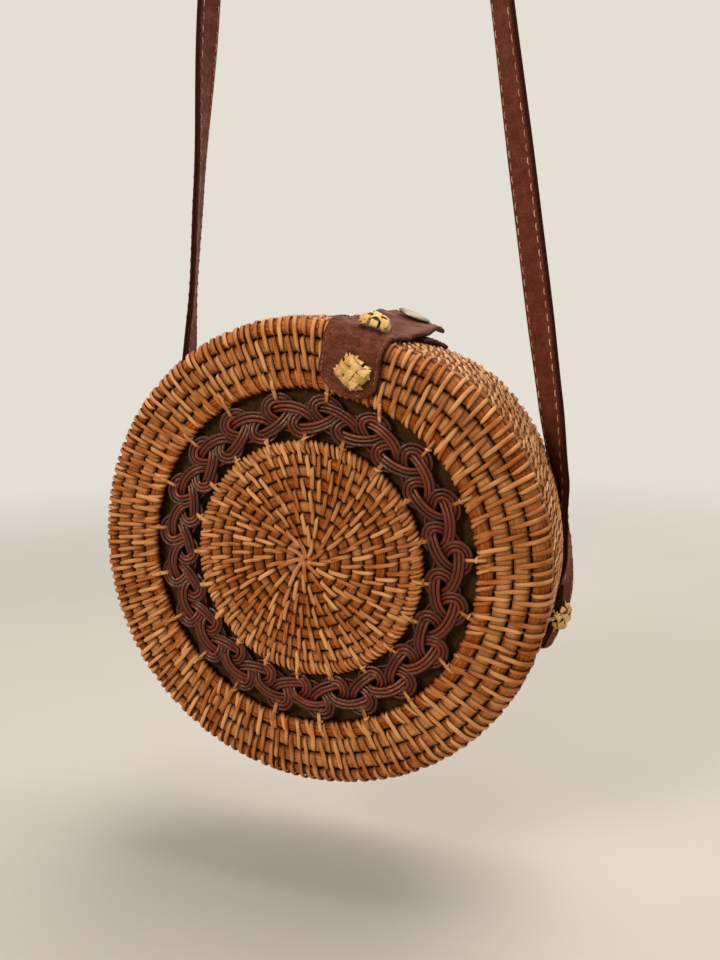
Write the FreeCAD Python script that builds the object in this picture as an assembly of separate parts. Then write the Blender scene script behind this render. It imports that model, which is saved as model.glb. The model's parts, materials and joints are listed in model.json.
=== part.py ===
import FreeCAD, Part
import math
import os

from FreeCAD import Vector

# A round woven shoulder bag, in millimetres. Two shallow woven dishes open on a laced hinge at the bottom,
# a leather flap with a snap closes them over the top, and a folded leather strap hangs on a knot at each side.
# The strap hangs from the origin, +Z is up and the front face looks along -Y.
# The bag's own frame has its axis along Y, its front face at y = 0 and the middle of its flap at +Z.

# Woven dishes
BAG_RADIUS = 100.0
BAG_DEPTH = 70.0
COIL_THICKNESS = 5.0
RIM_ROUND = 8.0
RIM_COILS = 2
WALL_COILS = 4
COIL_GROOVE = 1.6
SEAM_GAP = 0.6
LINING_THICKNESS = 1.0
LINING_SETBACK = 1.2

# Open-work face: a woven ring, a plaited ring and a woven disc, tied together
RING_WIDTH = 29.5
OPENWORK_WIDTH = 20.5
BRAID_LOOPS = 20
BRAID_FIRST_LOOP = 94.5
BRAID_TIE_GAP = 1.7
BRAID_LOOP_DEPTH = 3.6
TIE_WIDTH = 2.4
TIE_THICKNESS = 0.8
TIE_REACH = 2.2
TIE_END_GAP = 0.1

# Laced hinge at the bottom of the seam
HINGE_CORD_RADIUS = 1.0
HINGE_LOOP_RADIUS = 2.4
HINGE_LOOP_LENGTH = 6.0
HINGE_LOOP_PITCH = 7.0
HINGE_CORD_OVERHANG = 2.0
HINGE_RUNNING_FIT = 0.08
HINGE_CLEARANCE = 0.3

# Leather flap over the top
FLAP_WIDTH = 26.0
FLAP_THICKNESS = 2.0
FLAP_CLEARANCE = 0.3
FLAP_DROP = 29.0
FLAP_BEND_DEPTH = 20.0
FLAP_BEND_GAP = 0.3
TONGUE_END_SETBACK = 8.0
TONGUE_LEVEL_LENGTH = 18.0
TONGUE_LIFT = 4.6
TONGUE_ROUND = 7.0

# Leather tab and snap under the flap
TAB_WIDTH = 27.0
TAB_LENGTH_BEFORE_SNAP = 13.5
TAB_LENGTH_AFTER_SNAP = 11.0
TAB_SKEW = 7.0
SNAP_SETBACK = 16.0
SNAP_CAP_RADIUS = 7.0
SNAP_CAP_HEIGHT = 2.2
SNAP_RADIUS = 5.2
SNAP_POST_RADIUS = 2.0
SNAP_STUD_HEIGHT = 1.7
SNAP_GAP = 0.3
RIVET_RADIUS = 1.2
RIVET_PLATE_RADIUS = 5.0
RIVET_PLATE_THICKNESS = 0.8
TAB_TACK_RADIUS = 1.8
TAB_TACK_HEIGHT = 0.9
TAB_TACK_INSET = 5.0

# Knots and their leather washers
KNOT_SHANK_RADIUS = 2.0
KNOT_FIT = 0.05
STRAP_KNOT_RADIUS = 8.5
STRAP_KNOT_HEIGHT = 4.2
FRONT_KNOT_RADIUS = 8.5
FRONT_KNOT_HEIGHT = 4.6
FRONT_KNOT_DROP = 19.0
TOP_KNOT_RADIUS = 7.0
TOP_KNOT_HEIGHT = 4.8
TOP_KNOT_DEPTH = 11.0
WASHER_RADIUS = 6.5
WASHER_THICKNESS = 1.6

# Shoulder strap: two leather layers, folded back behind each knot
STRAP_SETBACK = 18.0
STRAP_WIDTH = 14.0
STRAP_LAYER = 1.3
STRAP_CLEARANCE = 0.3
STRAP_RUNNING_FIT = 0.08
FOLD_GAP = 0.4
FOLD_DROP = 9.5
FOLD_RISE = 14.0
STRAIGHT_RISE = 12.0
RIGHT_BEND_RADIUS = 105.0
LEFT_BEND_RADIUS = 900.0
ARCH_RADIUS = 20.0

# How the bag hangs
HANG_ROLL = 16.5
HANG_HEIGHT = 585.0

# Worked-out places in the bag's frame
WALL_INNER = BAG_RADIUS - COIL_THICKNESS
LINING_RADIUS = WALL_INNER - LINING_THICKNESS
SEAM_DEPTH = BAG_DEPTH / 2
SEAM_EDGE = SEAM_DEPTH - SEAM_GAP / 2
RING_OUTER_RADIUS = BAG_RADIUS - RIM_ROUND
RING_INNER_RADIUS = BAG_RADIUS - RING_WIDTH
DISC_RADIUS = RING_INNER_RADIUS - OPENWORK_WIDTH
BRAID_OUTER = RING_INNER_RADIUS - BRAID_TIE_GAP
BRAID_INNER = DISC_RADIUS + BRAID_TIE_GAP
LOOP_ANGLE = 360.0 / BRAID_LOOPS
STRAP_DEPTH = BAG_DEPTH - STRAP_SETBACK
STRAP_THICKNESS = 2 * STRAP_LAYER
STRAP_STACK = 2 * STRAP_THICKNESS + FOLD_GAP
FLAP_TIP_RADIUS = BAG_RADIUS - FLAP_DROP
FRONT_KNOT_PLACE = BAG_RADIUS - FRONT_KNOT_DROP
FLAP_UNDER = BAG_RADIUS + FLAP_CLEARANCE
FLAP_TOP = FLAP_UNDER + FLAP_THICKNESS
TONGUE_UNDER = FLAP_UNDER + TONGUE_LIFT
TONGUE_TOP = TONGUE_UNDER + FLAP_THICKNESS
TONGUE_END_DEPTH = BAG_DEPTH - TONGUE_END_SETBACK
TONGUE_RISE_DEPTH = TONGUE_END_DEPTH - TONGUE_LEVEL_LENGTH
SNAP_DEPTH = BAG_DEPTH - SNAP_SETBACK
TAB_START_DEPTH = SNAP_DEPTH - TAB_LENGTH_BEFORE_SNAP
TAB_END_DEPTH = SNAP_DEPTH + TAB_LENGTH_AFTER_SNAP
TAB_TOP = FLAP_UNDER + FLAP_THICKNESS
STUD_TOP = TAB_TOP + SNAP_STUD_HEIGHT
X_AXIS = Vector(1, 0, 0)
Y_AXIS = Vector(0, 1, 0)
Z_AXIS = Vector(0, 0, 1)
CENTRE = Vector(0, 0, 0)


def polar(radius, degrees, y=0.0):
    """A point at a radius and angle around the bag's axis, with +X at 0 degrees and +Z at 90."""
    angle = math.radians(degrees)
    return Vector(radius * math.cos(angle), y, radius * math.sin(angle))


def line(start, end):
    """A straight edge."""
    return Part.LineSegment(start, end).toShape()


def arc(start, middle, end):
    """A round edge through three points."""
    return Part.Arc(start, middle, end).toShape()


def face_of(edges):
    """A flat face inside a closed loop of edges."""
    return Part.Face(Part.Wire(Part.__sortEdges__(edges)))


def polygon(points):
    """A flat face inside straight edges."""
    return Part.Face(Part.makePolygon(points + points[:1]))


def turned(face):
    """A solid turned from a face in the XY plane about the bag's axis."""
    return face.revolve(CENTRE, Y_AXIS, 360)


def disc(radius, y, thickness):
    """A round plate across the bag's axis."""
    return Part.makeCylinder(radius, thickness, Vector(0, y, 0), Y_AXIS)


def aimed(shape, place, direction):
    """A shape built along +Z, moved to a place and turned to point in a direction."""
    turn = FreeCAD.Rotation(Z_AXIS, direction)
    moved = shape.copy()
    moved.Placement = FreeCAD.Placement(place, turn)
    return moved


def as_rear(shape):
    """The same shape on the rear dish, mirrored in the seam."""
    return shape.mirror(Vector(0, SEAM_DEPTH, 0), Y_AXIS)


def hung(shape):
    """A shape of the bag's frame, rolled and lowered to where the bag hangs on its strap."""
    moved = shape.copy()
    moved.translate(Vector(0, -STRAP_DEPTH, 0))
    moved.rotate(CENTRE, Y_AXIS, HANG_ROLL)
    moved.translate(Vector(0, 0, -HANG_HEIGHT))
    return moved


def rim_point(turn, groove):
    """A point of the rim's round, at a share of its quarter turn and a depth below its outside."""
    angle = turn * math.pi / 2
    radius = RIM_ROUND - groove
    return Vector(RING_OUTER_RADIUS + radius * math.sin(angle), RIM_ROUND - radius * math.cos(angle), 0)


def wall_point(share, groove):
    """A point of the straight wall, at a share of its way to the seam and a depth below its outside."""
    return Vector(BAG_RADIUS - groove, RIM_ROUND + share * (SEAM_EDGE - RIM_ROUND), 0)


def coil_ridges(point, coils):
    """One round ridge for each coil, with a groove at each side, along the rim or the wall."""
    ridges = []
    for coil in range(coils):
        start = point(coil / coils, COIL_GROOVE)
        end = point((coil + 1) / coils, COIL_GROOVE)
        ridges.append(arc(start, point((coil + 0.5) / coils, 0), end))
    return ridges


def side_wall():
    """The woven side wall of one dish, ridged by its coils, with a rounded rim that holds the face."""
    rim_start = rim_point(0, COIL_GROOVE)
    outer_edge = wall_point(1, COIL_GROOVE)
    inner_edge = Vector(WALL_INNER, SEAM_EDGE, 0)
    corner = Vector(WALL_INNER, COIL_THICKNESS, 0)
    ring_back = Vector(RING_OUTER_RADIUS, COIL_THICKNESS, 0)
    edges = coil_ridges(rim_point, RIM_COILS) + coil_ridges(wall_point, WALL_COILS)
    edges += [
        line(outer_edge, inner_edge),
        line(inner_edge, corner),
        line(corner, ring_back),
        line(ring_back, rim_start),
    ]
    return turned(face_of(edges))


def face_ring():
    """The flat woven ring of one face, notched for the ties."""
    hole = disc(RING_INNER_RADIUS, 0, COIL_THICKNESS)
    return disc(RING_OUTER_RADIUS, 0, COIL_THICKNESS).cut([hole] + outer_strips())


def centre_disc():
    """The woven disc in the middle of one face, notched for the ties."""
    return disc(DISC_RADIUS, 0, COIL_THICKNESS).cut(inner_strips())


def lining():
    """The fabric cup inside one dish."""
    end = SEAM_EDGE - LINING_SETBACK
    floor = COIL_THICKNESS + LINING_THICKNESS
    points = [
        Vector(0, COIL_THICKNESS, 0),
        Vector(WALL_INNER, COIL_THICKNESS, 0),
        Vector(WALL_INNER, end, 0),
        Vector(LINING_RADIUS, end, 0),
        Vector(LINING_RADIUS, floor, 0),
        Vector(0, floor, 0),
    ]
    return turned(polygon(points))


def scalloped_edge(tip_radius, valley_radius, first_tip):
    """A closed run of arcs with one round tip for each loop of the plait."""
    edges = []
    for loop in range(BRAID_LOOPS):
        tip = first_tip + loop * LOOP_ANGLE
        start = polar(valley_radius, tip - LOOP_ANGLE / 2)
        end = polar(valley_radius, tip + LOOP_ANGLE / 2)
        edges.append(arc(start, polar(tip_radius, tip), end))
    return Part.Wire(edges)


def outer_tip_angle(loop):
    """The angle of one outer loop of the plait; the first one lies near the flap's middle."""
    return BRAID_FIRST_LOOP + loop * LOOP_ANGLE


def inner_tip_angle(loop):
    """The angle of one inner loop of the plait, half a loop from the outer ones."""
    return outer_tip_angle(loop) + LOOP_ANGLE / 2


def braid():
    """The plaited ring of one face, as a plate with a scalloped edge on both sides, notched for the ties."""
    outer = scalloped_edge(BRAID_OUTER, BRAID_OUTER - BRAID_LOOP_DEPTH, outer_tip_angle(0))
    inner = scalloped_edge(BRAID_INNER, BRAID_INNER + BRAID_LOOP_DEPTH, inner_tip_angle(0))
    plate = Part.Face(outer).extrude(Y_AXIS * COIL_THICKNESS)
    hole = Part.Face(inner).extrude(Y_AXIS * COIL_THICKNESS)
    return plate.cut([hole] + outer_strips() + inner_strips())


def tie_strip(low_radius, high_radius, degrees):
    """The strip of one tie, flush with the face, over the gap between two radii."""
    length = high_radius - low_radius + 2 * TIE_REACH
    start = Vector(low_radius - TIE_REACH, 0, -TIE_WIDTH / 2)
    strip = Part.makeBox(length, TIE_THICKNESS, TIE_WIDTH, start)
    strip.rotate(CENTRE, Y_AXIS, -degrees)
    return strip


def tie_stem(low_radius, high_radius, degrees):
    """The stem of one tie, in the gap between two radii."""
    length = high_radius - low_radius - 2 * TIE_END_GAP
    start = Vector(low_radius + TIE_END_GAP, TIE_THICKNESS, -TIE_WIDTH / 2)
    stem = Part.makeBox(length, COIL_THICKNESS - TIE_THICKNESS, TIE_WIDTH, start)
    stem.rotate(CENTRE, Y_AXIS, -degrees)
    return stem


def outer_strips():
    """The strips of the ties between the plait's outer loops and the ring."""
    return [tie_strip(BRAID_OUTER, RING_INNER_RADIUS, outer_tip_angle(loop)) for loop in range(BRAID_LOOPS)]


def inner_strips():
    """The strips of the ties between the plait's inner loops and the disc."""
    return [tie_strip(DISC_RADIUS, BRAID_INNER, inner_tip_angle(loop)) for loop in range(BRAID_LOOPS)]


def outer_ties():
    """The ties between the plait's outer loops and the ring."""
    stems = [tie_stem(BRAID_OUTER, RING_INNER_RADIUS, outer_tip_angle(loop)) for loop in range(BRAID_LOOPS)]
    return Part.makeCompound([strip.fuse(stem) for strip, stem in zip(outer_strips(), stems)])


def inner_ties():
    """The ties between the plait's inner loops and the disc."""
    stems = [tie_stem(DISC_RADIUS, BRAID_INNER, inner_tip_angle(loop)) for loop in range(BRAID_LOOPS)]
    return Part.makeCompound([strip.fuse(stem) for strip, stem in zip(inner_strips(), stems)])


def knot(radius, height, shank_length):
    """A domed rosette knot on its shank, with its flat back at z = 0."""
    dome_radius = (radius ** 2 + height ** 2) / (2 * height)
    half_angle = math.asin(radius / dome_radius) / 2
    drop = height - dome_radius
    rim = Vector(radius, 0, 0)
    middle = Vector(dome_radius * math.sin(half_angle), 0, drop + dome_radius * math.cos(half_angle))
    crown = Vector(0, 0, height)
    edges = [line(CENTRE, rim), arc(rim, middle, crown), line(crown, CENTRE)]
    dome = face_of(edges).revolve(CENTRE, Z_AXIS, 360)
    shank = Part.makeCylinder(KNOT_SHANK_RADIUS, shank_length, Vector(0, 0, -shank_length), Z_AXIS)
    return dome.fuse(shank).removeSplitter()


def shank_hole(place, direction, length):
    """The hole for a knot's shank, from a place inwards."""
    return Part.makeCylinder(KNOT_SHANK_RADIUS + KNOT_FIT, length, place, direction * -1)


def seated_washer(direction, y):
    """A round leather washer on the inside of the lining, under a knot at the side or the top."""
    start = direction * (LINING_RADIUS - WASHER_THICKNESS) + Vector(0, y, 0)
    plug = Part.makeCylinder(WASHER_RADIUS, WASHER_THICKNESS, start, direction)
    inside = disc(LINING_RADIUS, 0, BAG_DEPTH)
    return plug.common(inside).cut(shank_hole(direction * BAG_RADIUS + Vector(0, y, 0), direction, BAG_RADIUS))


def hinge_rod(radius, start, length):
    """A round length on the hinge line, which runs along X at the bottom of the seam."""
    return Part.makeCylinder(radius, length, Vector(start, SEAM_DEPTH, -BAG_RADIUS), X_AXIS)


def hinge_loop_starts(first):
    """Where a dish's two lacing loops start along the hinge line."""
    return [first - HINGE_LOOP_LENGTH / 2, -first - HINGE_LOOP_LENGTH / 2]


REAR_LOOP_STARTS = hinge_loop_starts(HINGE_LOOP_PITCH)
FRONT_LOOP_STARTS = hinge_loop_starts(2 * HINGE_LOOP_PITCH)
HINGE_REACH = 2 * HINGE_LOOP_PITCH + HINGE_LOOP_LENGTH / 2 + HINGE_CORD_OVERHANG


def hinge_loops(starts):
    """The lacing loops of one dish, round the hinge cord."""
    bore = hinge_rod(HINGE_CORD_RADIUS + HINGE_RUNNING_FIT, -HINGE_REACH, 2 * HINGE_REACH)
    return Part.makeCompound([hinge_rod(HINGE_LOOP_RADIUS, start, HINGE_LOOP_LENGTH).cut(bore) for start in starts])


def with_hinge_room(wall, own_starts, other_starts):
    """A side wall with seats for its own lacing loops and running room for the cord and the other loops."""
    cord_room = hinge_rod(HINGE_CORD_RADIUS + HINGE_CLEARANCE, -HINGE_REACH, 2 * HINGE_REACH)
    seats = [hinge_rod(HINGE_LOOP_RADIUS, start, HINGE_LOOP_LENGTH) for start in own_starts]
    room = HINGE_LOOP_RADIUS + HINGE_CLEARANCE
    length = HINGE_LOOP_LENGTH + 2 * HINGE_CLEARANCE
    rooms = [hinge_rod(room, start - HINGE_CLEARANCE, length) for start in other_starts]
    return wall.cut([cord_room] + seats + rooms)


def across_flap(points, width):
    """A strip of leather with a profile in the YZ plane, centred on the flap's middle."""
    placed = [Vector(-width / 2, y, z) for y, z in points]
    return polygon(placed).extrude(X_AXIS * width)


def front_knot_place():
    """Where the front knot's back meets the flap."""
    return Vector(0, -FLAP_CLEARANCE - FLAP_THICKNESS, FRONT_KNOT_PLACE)


def top_knot_place():
    """Where the top knot's back meets the flap."""
    return Vector(0, TOP_KNOT_DEPTH, FLAP_TOP)


def flap_base():
    """The fixed part of the flap: down the front face with a round tip, over the rim and to the bend."""
    under_front = -FLAP_CLEARANCE
    front = under_front - FLAP_THICKNESS
    end = FLAP_BEND_DEPTH - FLAP_BEND_GAP / 2
    inner_round = RIM_ROUND + FLAP_CLEARANCE
    outer_round = inner_round + FLAP_THICKNESS
    half = -FLAP_WIDTH / 2
    slant = math.sqrt(0.5)

    def rim_point(radius, along_y, along_z):
        """A point of the bend round the rim."""
        y = RIM_ROUND - radius * along_y
        return Vector(half, y, BAG_RADIUS - RIM_ROUND + radius * along_z)

    tip_inner = Vector(half, under_front, FLAP_TIP_RADIUS)
    tip_outer = Vector(half, front, FLAP_TIP_RADIUS)
    end_outer = Vector(half, end, FLAP_TOP)
    end_inner = Vector(half, end, FLAP_UNDER)
    edges = [
        line(tip_inner, tip_outer),
        line(tip_outer, rim_point(outer_round, 1, 0)),
        arc(rim_point(outer_round, 1, 0), rim_point(outer_round, slant, slant), rim_point(outer_round, 0, 1)),
        line(rim_point(outer_round, 0, 1), end_outer),
        line(end_outer, end_inner),
        line(end_inner, rim_point(inner_round, 0, 1)),
        arc(rim_point(inner_round, 0, 1), rim_point(inner_round, slant, slant), rim_point(inner_round, 1, 0)),
        line(rim_point(inner_round, 1, 0), tip_inner),
    ]
    strip = face_of(edges).extrude(X_AXIS * FLAP_WIDTH)
    round_end = FLAP_TIP_RADIUS + FLAP_WIDTH / 2
    left = Vector(half, front, round_end)
    right = Vector(-half, front, round_end)
    top_left = Vector(half, front, FLAP_TOP)
    top_right = Vector(-half, front, FLAP_TOP)
    outline = [
        arc(left, Vector(0, front, FLAP_TIP_RADIUS), right),
        line(right, top_right),
        line(top_right, top_left),
        line(top_left, left),
    ]
    trimmed = strip.common(face_of(outline).extrude(Y_AXIS * (end - front)))
    holes = [
        shank_hole(front_knot_place(), Y_AXIS * -1, COIL_THICKNESS),
        shank_hole(top_knot_place(), Z_AXIS, COIL_THICKNESS),
    ]
    return trimmed.cut(holes)


def rounded_end_plate(width, start, end, sagitta, low, high):
    """A plate along Y with a square start and a rounded end, between two heights."""
    half = width / 2
    corners = [Vector(-half, start, low), Vector(half, start, low)]
    shoulders = [Vector(half, end - sagitta, low), Vector(-half, end - sagitta, low)]
    edges = [
        line(corners[0], corners[1]),
        line(corners[1], shoulders[0]),
        arc(shoulders[0], Vector(0, end, low), shoulders[1]),
        line(shoulders[1], corners[0]),
    ]
    return face_of(edges).extrude(Z_AXIS * (high - low))


def snap_rod(radius, low, high):
    """A round length on the snap's axis, between two heights."""
    return Part.makeCylinder(radius, high - low, Vector(0, SNAP_DEPTH, low), Z_AXIS)


def flap_tongue():
    """The free end of the flap, which rises over the snap to a rounded tip."""
    start = FLAP_BEND_DEPTH + FLAP_BEND_GAP / 2
    profile = [
        (start, FLAP_UNDER),
        (start, FLAP_TOP),
        (TONGUE_RISE_DEPTH, TONGUE_TOP),
        (TONGUE_END_DEPTH, TONGUE_TOP),
        (TONGUE_END_DEPTH, TONGUE_UNDER),
        (TONGUE_RISE_DEPTH, TONGUE_UNDER),
    ]
    strip = across_flap(profile, FLAP_WIDTH)
    plan = rounded_end_plate(FLAP_WIDTH, start, TONGUE_END_DEPTH, TONGUE_ROUND, FLAP_UNDER, TONGUE_TOP)
    return strip.common(plan).cut(snap_rod(RIVET_RADIUS, FLAP_UNDER, TONGUE_TOP))


def tack_rod(radius, low, high):
    """A round length at the tab's front tack, between two heights."""
    return Part.makeCylinder(radius, high - low, Vector(0, TAB_START_DEPTH + TAB_TACK_INSET, low), Z_AXIS)


def lower_tab():
    """The leather tab under the tongue, a little skewed about the snap."""
    plate = rounded_end_plate(TAB_WIDTH, TAB_START_DEPTH, TAB_END_DEPTH, TONGUE_ROUND, FLAP_UNDER, TAB_TOP)
    plate.rotate(Vector(0, SNAP_DEPTH, 0), Z_AXIS, -TAB_SKEW)
    return plate.cut([snap_rod(RIVET_RADIUS, FLAP_UNDER, TAB_TOP), tack_rod(RIVET_RADIUS, FLAP_UNDER, TAB_TOP)])


def snap_stud():
    """The snap's stud on the tab, with its rivet down through the wall and the lining."""
    flange = snap_rod(SNAP_RADIUS, TAB_TOP, TAB_TOP + SNAP_STUD_HEIGHT / 2)
    post = snap_rod(SNAP_POST_RADIUS, TAB_TOP, STUD_TOP)
    rivet = snap_rod(RIVET_RADIUS, LINING_RADIUS - RIVET_PLATE_THICKNESS, TAB_TOP)
    return flange.fuse([post, rivet]).removeSplitter()


def rivet_plate():
    """The plate that holds the stud's rivet inside the lining."""
    plate = snap_rod(RIVET_PLATE_RADIUS, LINING_RADIUS - RIVET_PLATE_THICKNESS, LINING_RADIUS)
    seated = plate.common(disc(LINING_RADIUS, 0, BAG_DEPTH))
    return seated.cut(snap_rod(RIVET_RADIUS, 0, BAG_RADIUS))


def tab_tack():
    """The low tack that holds the tab's front end to the wall."""
    head = tack_rod(TAB_TACK_RADIUS, TAB_TOP, TAB_TOP + TAB_TACK_HEIGHT)
    stem = tack_rod(RIVET_RADIUS, WALL_INNER, TAB_TOP)
    return head.fuse(stem).removeSplitter()


def snap_socket():
    """The snap's socket under the tongue, just above the stud."""
    return snap_rod(SNAP_RADIUS, STUD_TOP + SNAP_GAP, TONGUE_UNDER)


def snap_cap():
    """The snap's domed cap on the tongue, with its rivet down to the socket."""
    dome = snap_rod(SNAP_CAP_RADIUS, TONGUE_TOP, TONGUE_TOP + SNAP_CAP_HEIGHT)
    crown = max(dome.Edges, key=lambda edge: edge.BoundBox.ZMin)
    rounded = dome.makeFillet(SNAP_CAP_HEIGHT / 2, [crown])
    return rounded.fuse(snap_rod(RIVET_RADIUS, TONGUE_UNDER, TONGUE_TOP)).removeSplitter()


def in_hang_plane(along_x, along_z):
    """A direction of the hanging strap's plane."""
    return Vector(along_x, 0, along_z)


ROLL = math.radians(HANG_ROLL)
UP = in_hang_plane(math.sin(ROLL), math.cos(ROLL))
BAG_CENTRE = in_hang_plane(0, -HANG_HEIGHT)
ARCH_CENTRE = in_hang_plane(0, -ARCH_RADIUS)
FOLD_RADIUS = BAG_RADIUS + STRAP_CLEARANCE + STRAP_THICKNESS + FOLD_GAP / 2


def outwards(side):
    """The direction away from the bag at one knot; side is 1 on the right and -1 on the left."""
    return in_hang_plane(side * math.cos(ROLL), -side * math.sin(ROLL))


def left_of(heading):
    """The direction to the left of a heading, given as an angle in the strap's plane."""
    return in_hang_plane(-math.sin(heading), math.cos(heading))


def leg_edges(side, offset):
    """One leg of the strap, from the folded end to the arch, at an offset from the strap's inner face."""
    out = outwards(side)
    fold = BAG_CENTRE + out * FOLD_RADIUS - UP * FOLD_DROP
    reach = FOLD_GAP / 2 + offset
    bend_start = fold + UP * (FOLD_DROP + STRAIGHT_RISE) + out * reach
    bend_radius = RIGHT_BEND_RADIUS if side > 0 else LEFT_BEND_RADIUS
    start_heading = math.pi / 2 - ROLL
    bend_centre = bend_start - out * offset + left_of(start_heading) * bend_radius
    to_arch = ARCH_CENTRE - bend_centre
    lean = math.asin((bend_radius - side * ARCH_RADIUS) / to_arch.Length)
    heading = math.atan2(to_arch.z, to_arch.x) + lean
    radius = bend_radius + side * offset
    bend_middle = bend_centre - left_of((start_heading + heading) / 2) * radius
    bend_end = bend_centre - left_of(heading) * radius
    arch_start = ARCH_CENTRE - left_of(heading) * side * (ARCH_RADIUS + offset)
    fold_inner = fold - out * reach
    fold_outer = fold + out * reach
    inner_end = fold_inner + UP * (FOLD_DROP + FOLD_RISE)
    edges = [
        line(inner_end, fold_inner),
        arc(fold_inner, fold - UP * reach, fold_outer),
        line(fold_outer, bend_start),
        arc(bend_start, bend_middle, bend_end),
        line(bend_end, arch_start),
    ]
    return edges, inner_end, arch_start


def strap_layer(low, high):
    """One leather layer of the strap, between two offsets from its inner face."""
    edges = []
    ends = []
    for offset in (low, high):
        left_edges, left_end, left_arch = leg_edges(-1, offset)
        right_edges, right_end, right_arch = leg_edges(1, offset)
        crown = ARCH_CENTRE + Z_AXIS * (ARCH_RADIUS + offset)
        edges += left_edges + right_edges + [arc(left_arch, crown, right_arch)]
        ends.append((left_end, right_end))
    edges += [line(ends[0][0], ends[1][0]), line(ends[0][1], ends[1][1])]
    layer = face_of(edges).extrude(Y_AXIS * STRAP_WIDTH)
    layer.translate(Y_AXIS * (-STRAP_WIDTH / 2))
    holes = []
    for side in (1, -1):
        hole_radius = KNOT_SHANK_RADIUS + STRAP_RUNNING_FIT
        start = BAG_CENTRE + outwards(side) * BAG_RADIUS
        holes.append(Part.makeCylinder(hole_radius, 2 * STRAP_STACK, start, outwards(side)))
    return layer.cut(holes)


def side_knot_place(side):
    """Where a strap knot's back lies, just clear of the folded strap."""
    return X_AXIS * side * (BAG_RADIUS + STRAP_STACK + 2 * STRAP_CLEARANCE) + Y_AXIS * STRAP_DEPTH


def dish_nodes():
    """The pieces that both dishes share, as the front dish has them."""
    return {
        "braid": braid(),
        "center_disc": centre_disc(),
        "outer_ties": outer_ties(),
        "inner_ties": inner_ties(),
    }


def rear_nodes():
    """The rear dish, with the strap's knots, the tab and the stud."""
    side_holes = [shank_hole(side_knot_place(side), X_AXIS * side, BAG_RADIUS) for side in (1, -1)]
    rivet_hole = snap_rod(RIVET_RADIUS, LINING_RADIUS - COIL_THICKNESS, BAG_RADIUS + COIL_THICKNESS)
    tack_hole = tack_rod(RIVET_RADIUS, WALL_INNER, BAG_RADIUS + COIL_THICKNESS)
    wall_side_holes = [hole.common(disc(2 * BAG_RADIUS, SEAM_DEPTH, SEAM_DEPTH)) for hole in side_holes]
    wall = with_hinge_room(as_rear(side_wall()), REAR_LOOP_STARTS, FRONT_LOOP_STARTS)
    nodes = {"rear_" + name: as_rear(shape) for name, shape in dish_nodes().items()}
    nodes["rear_side_wall"] = wall.cut(wall_side_holes + [rivet_hole, tack_hole])
    nodes["rear_face_ring"] = as_rear(face_ring())
    nodes["rear_lining"] = as_rear(lining()).cut(side_holes + [rivet_hole])
    nodes["lower_tab"] = lower_tab()
    nodes["snap_stud"] = snap_stud()
    nodes["stud_rivet_plate"] = rivet_plate()
    nodes["tab_tack"] = tab_tack()
    nodes["hinge_loops_rear"] = hinge_loops(REAR_LOOP_STARTS)
    nodes["hinge_cord"] = hinge_rod(HINGE_CORD_RADIUS, -HINGE_REACH, 2 * HINGE_REACH)
    inner_face = LINING_RADIUS - WASHER_THICKNESS
    for name, side in (("right", 1), ("left", -1)):
        place = side_knot_place(side)
        length = place.x * side - inner_face
        dome = knot(STRAP_KNOT_RADIUS, STRAP_KNOT_HEIGHT, length)
        nodes["strap_knot_" + name] = aimed(dome, place, X_AXIS * side)
        nodes["strap_knot_washer_" + name] = seated_washer(X_AXIS * side, STRAP_DEPTH)
    return nodes


def front_nodes():
    """The front dish, with the fixed part of the flap and its two knots."""
    front_hole = shank_hole(front_knot_place(), Y_AXIS * -1, 2 * COIL_THICKNESS)
    top_hole = shank_hole(top_knot_place(), Z_AXIS, 4 * COIL_THICKNESS)
    lining_end = COIL_THICKNESS + LINING_THICKNESS
    wall = with_hinge_room(side_wall(), FRONT_LOOP_STARTS, REAR_LOOP_STARTS)
    nodes = {"front_" + name: shape for name, shape in dish_nodes().items()}
    nodes["front_side_wall"] = wall.cut(top_hole)
    nodes["front_face_ring"] = face_ring().cut(front_hole)
    nodes["front_lining"] = lining().cut([front_hole, top_hole])
    nodes["hinge_loops_front"] = hinge_loops(FRONT_LOOP_STARTS)
    nodes["flap_base"] = flap_base()
    front_length = lining_end + WASHER_THICKNESS - front_knot_place().y
    front_knot = knot(FRONT_KNOT_RADIUS, FRONT_KNOT_HEIGHT, front_length)
    nodes["flap_front_knot"] = aimed(front_knot, front_knot_place(), Y_AXIS * -1)
    washer_start = Vector(0, lining_end, FRONT_KNOT_PLACE)
    washer = Part.makeCylinder(WASHER_RADIUS, WASHER_THICKNESS, washer_start, Y_AXIS)
    nodes["flap_front_washer"] = washer.cut(shank_hole(front_knot_place(), Y_AXIS * -1, BAG_DEPTH))
    top_length = FLAP_TOP - LINING_RADIUS + WASHER_THICKNESS
    top_knot = knot(TOP_KNOT_RADIUS, TOP_KNOT_HEIGHT, top_length)
    nodes["flap_top_knot"] = aimed(top_knot, top_knot_place(), Z_AXIS)
    top_washer = seated_washer(Z_AXIS, TOP_KNOT_DEPTH)
    clear_of_face = disc(BAG_RADIUS, lining_end, BAG_DEPTH)
    nodes["flap_top_washer"] = top_washer.common(clear_of_face)
    return nodes


def flap_nodes():
    """The free end of the flap and its half of the snap."""
    return {"flap_tongue": flap_tongue(), "snap_cap": snap_cap(), "snap_socket": snap_socket()}


def strap_nodes():
    """The two leather layers of the strap, already where they hang."""
    return {
        "strap_backing_leather": strap_layer(0, STRAP_LAYER),
        "strap_top_leather": strap_layer(STRAP_LAYER, STRAP_THICKNESS),
    }


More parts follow.
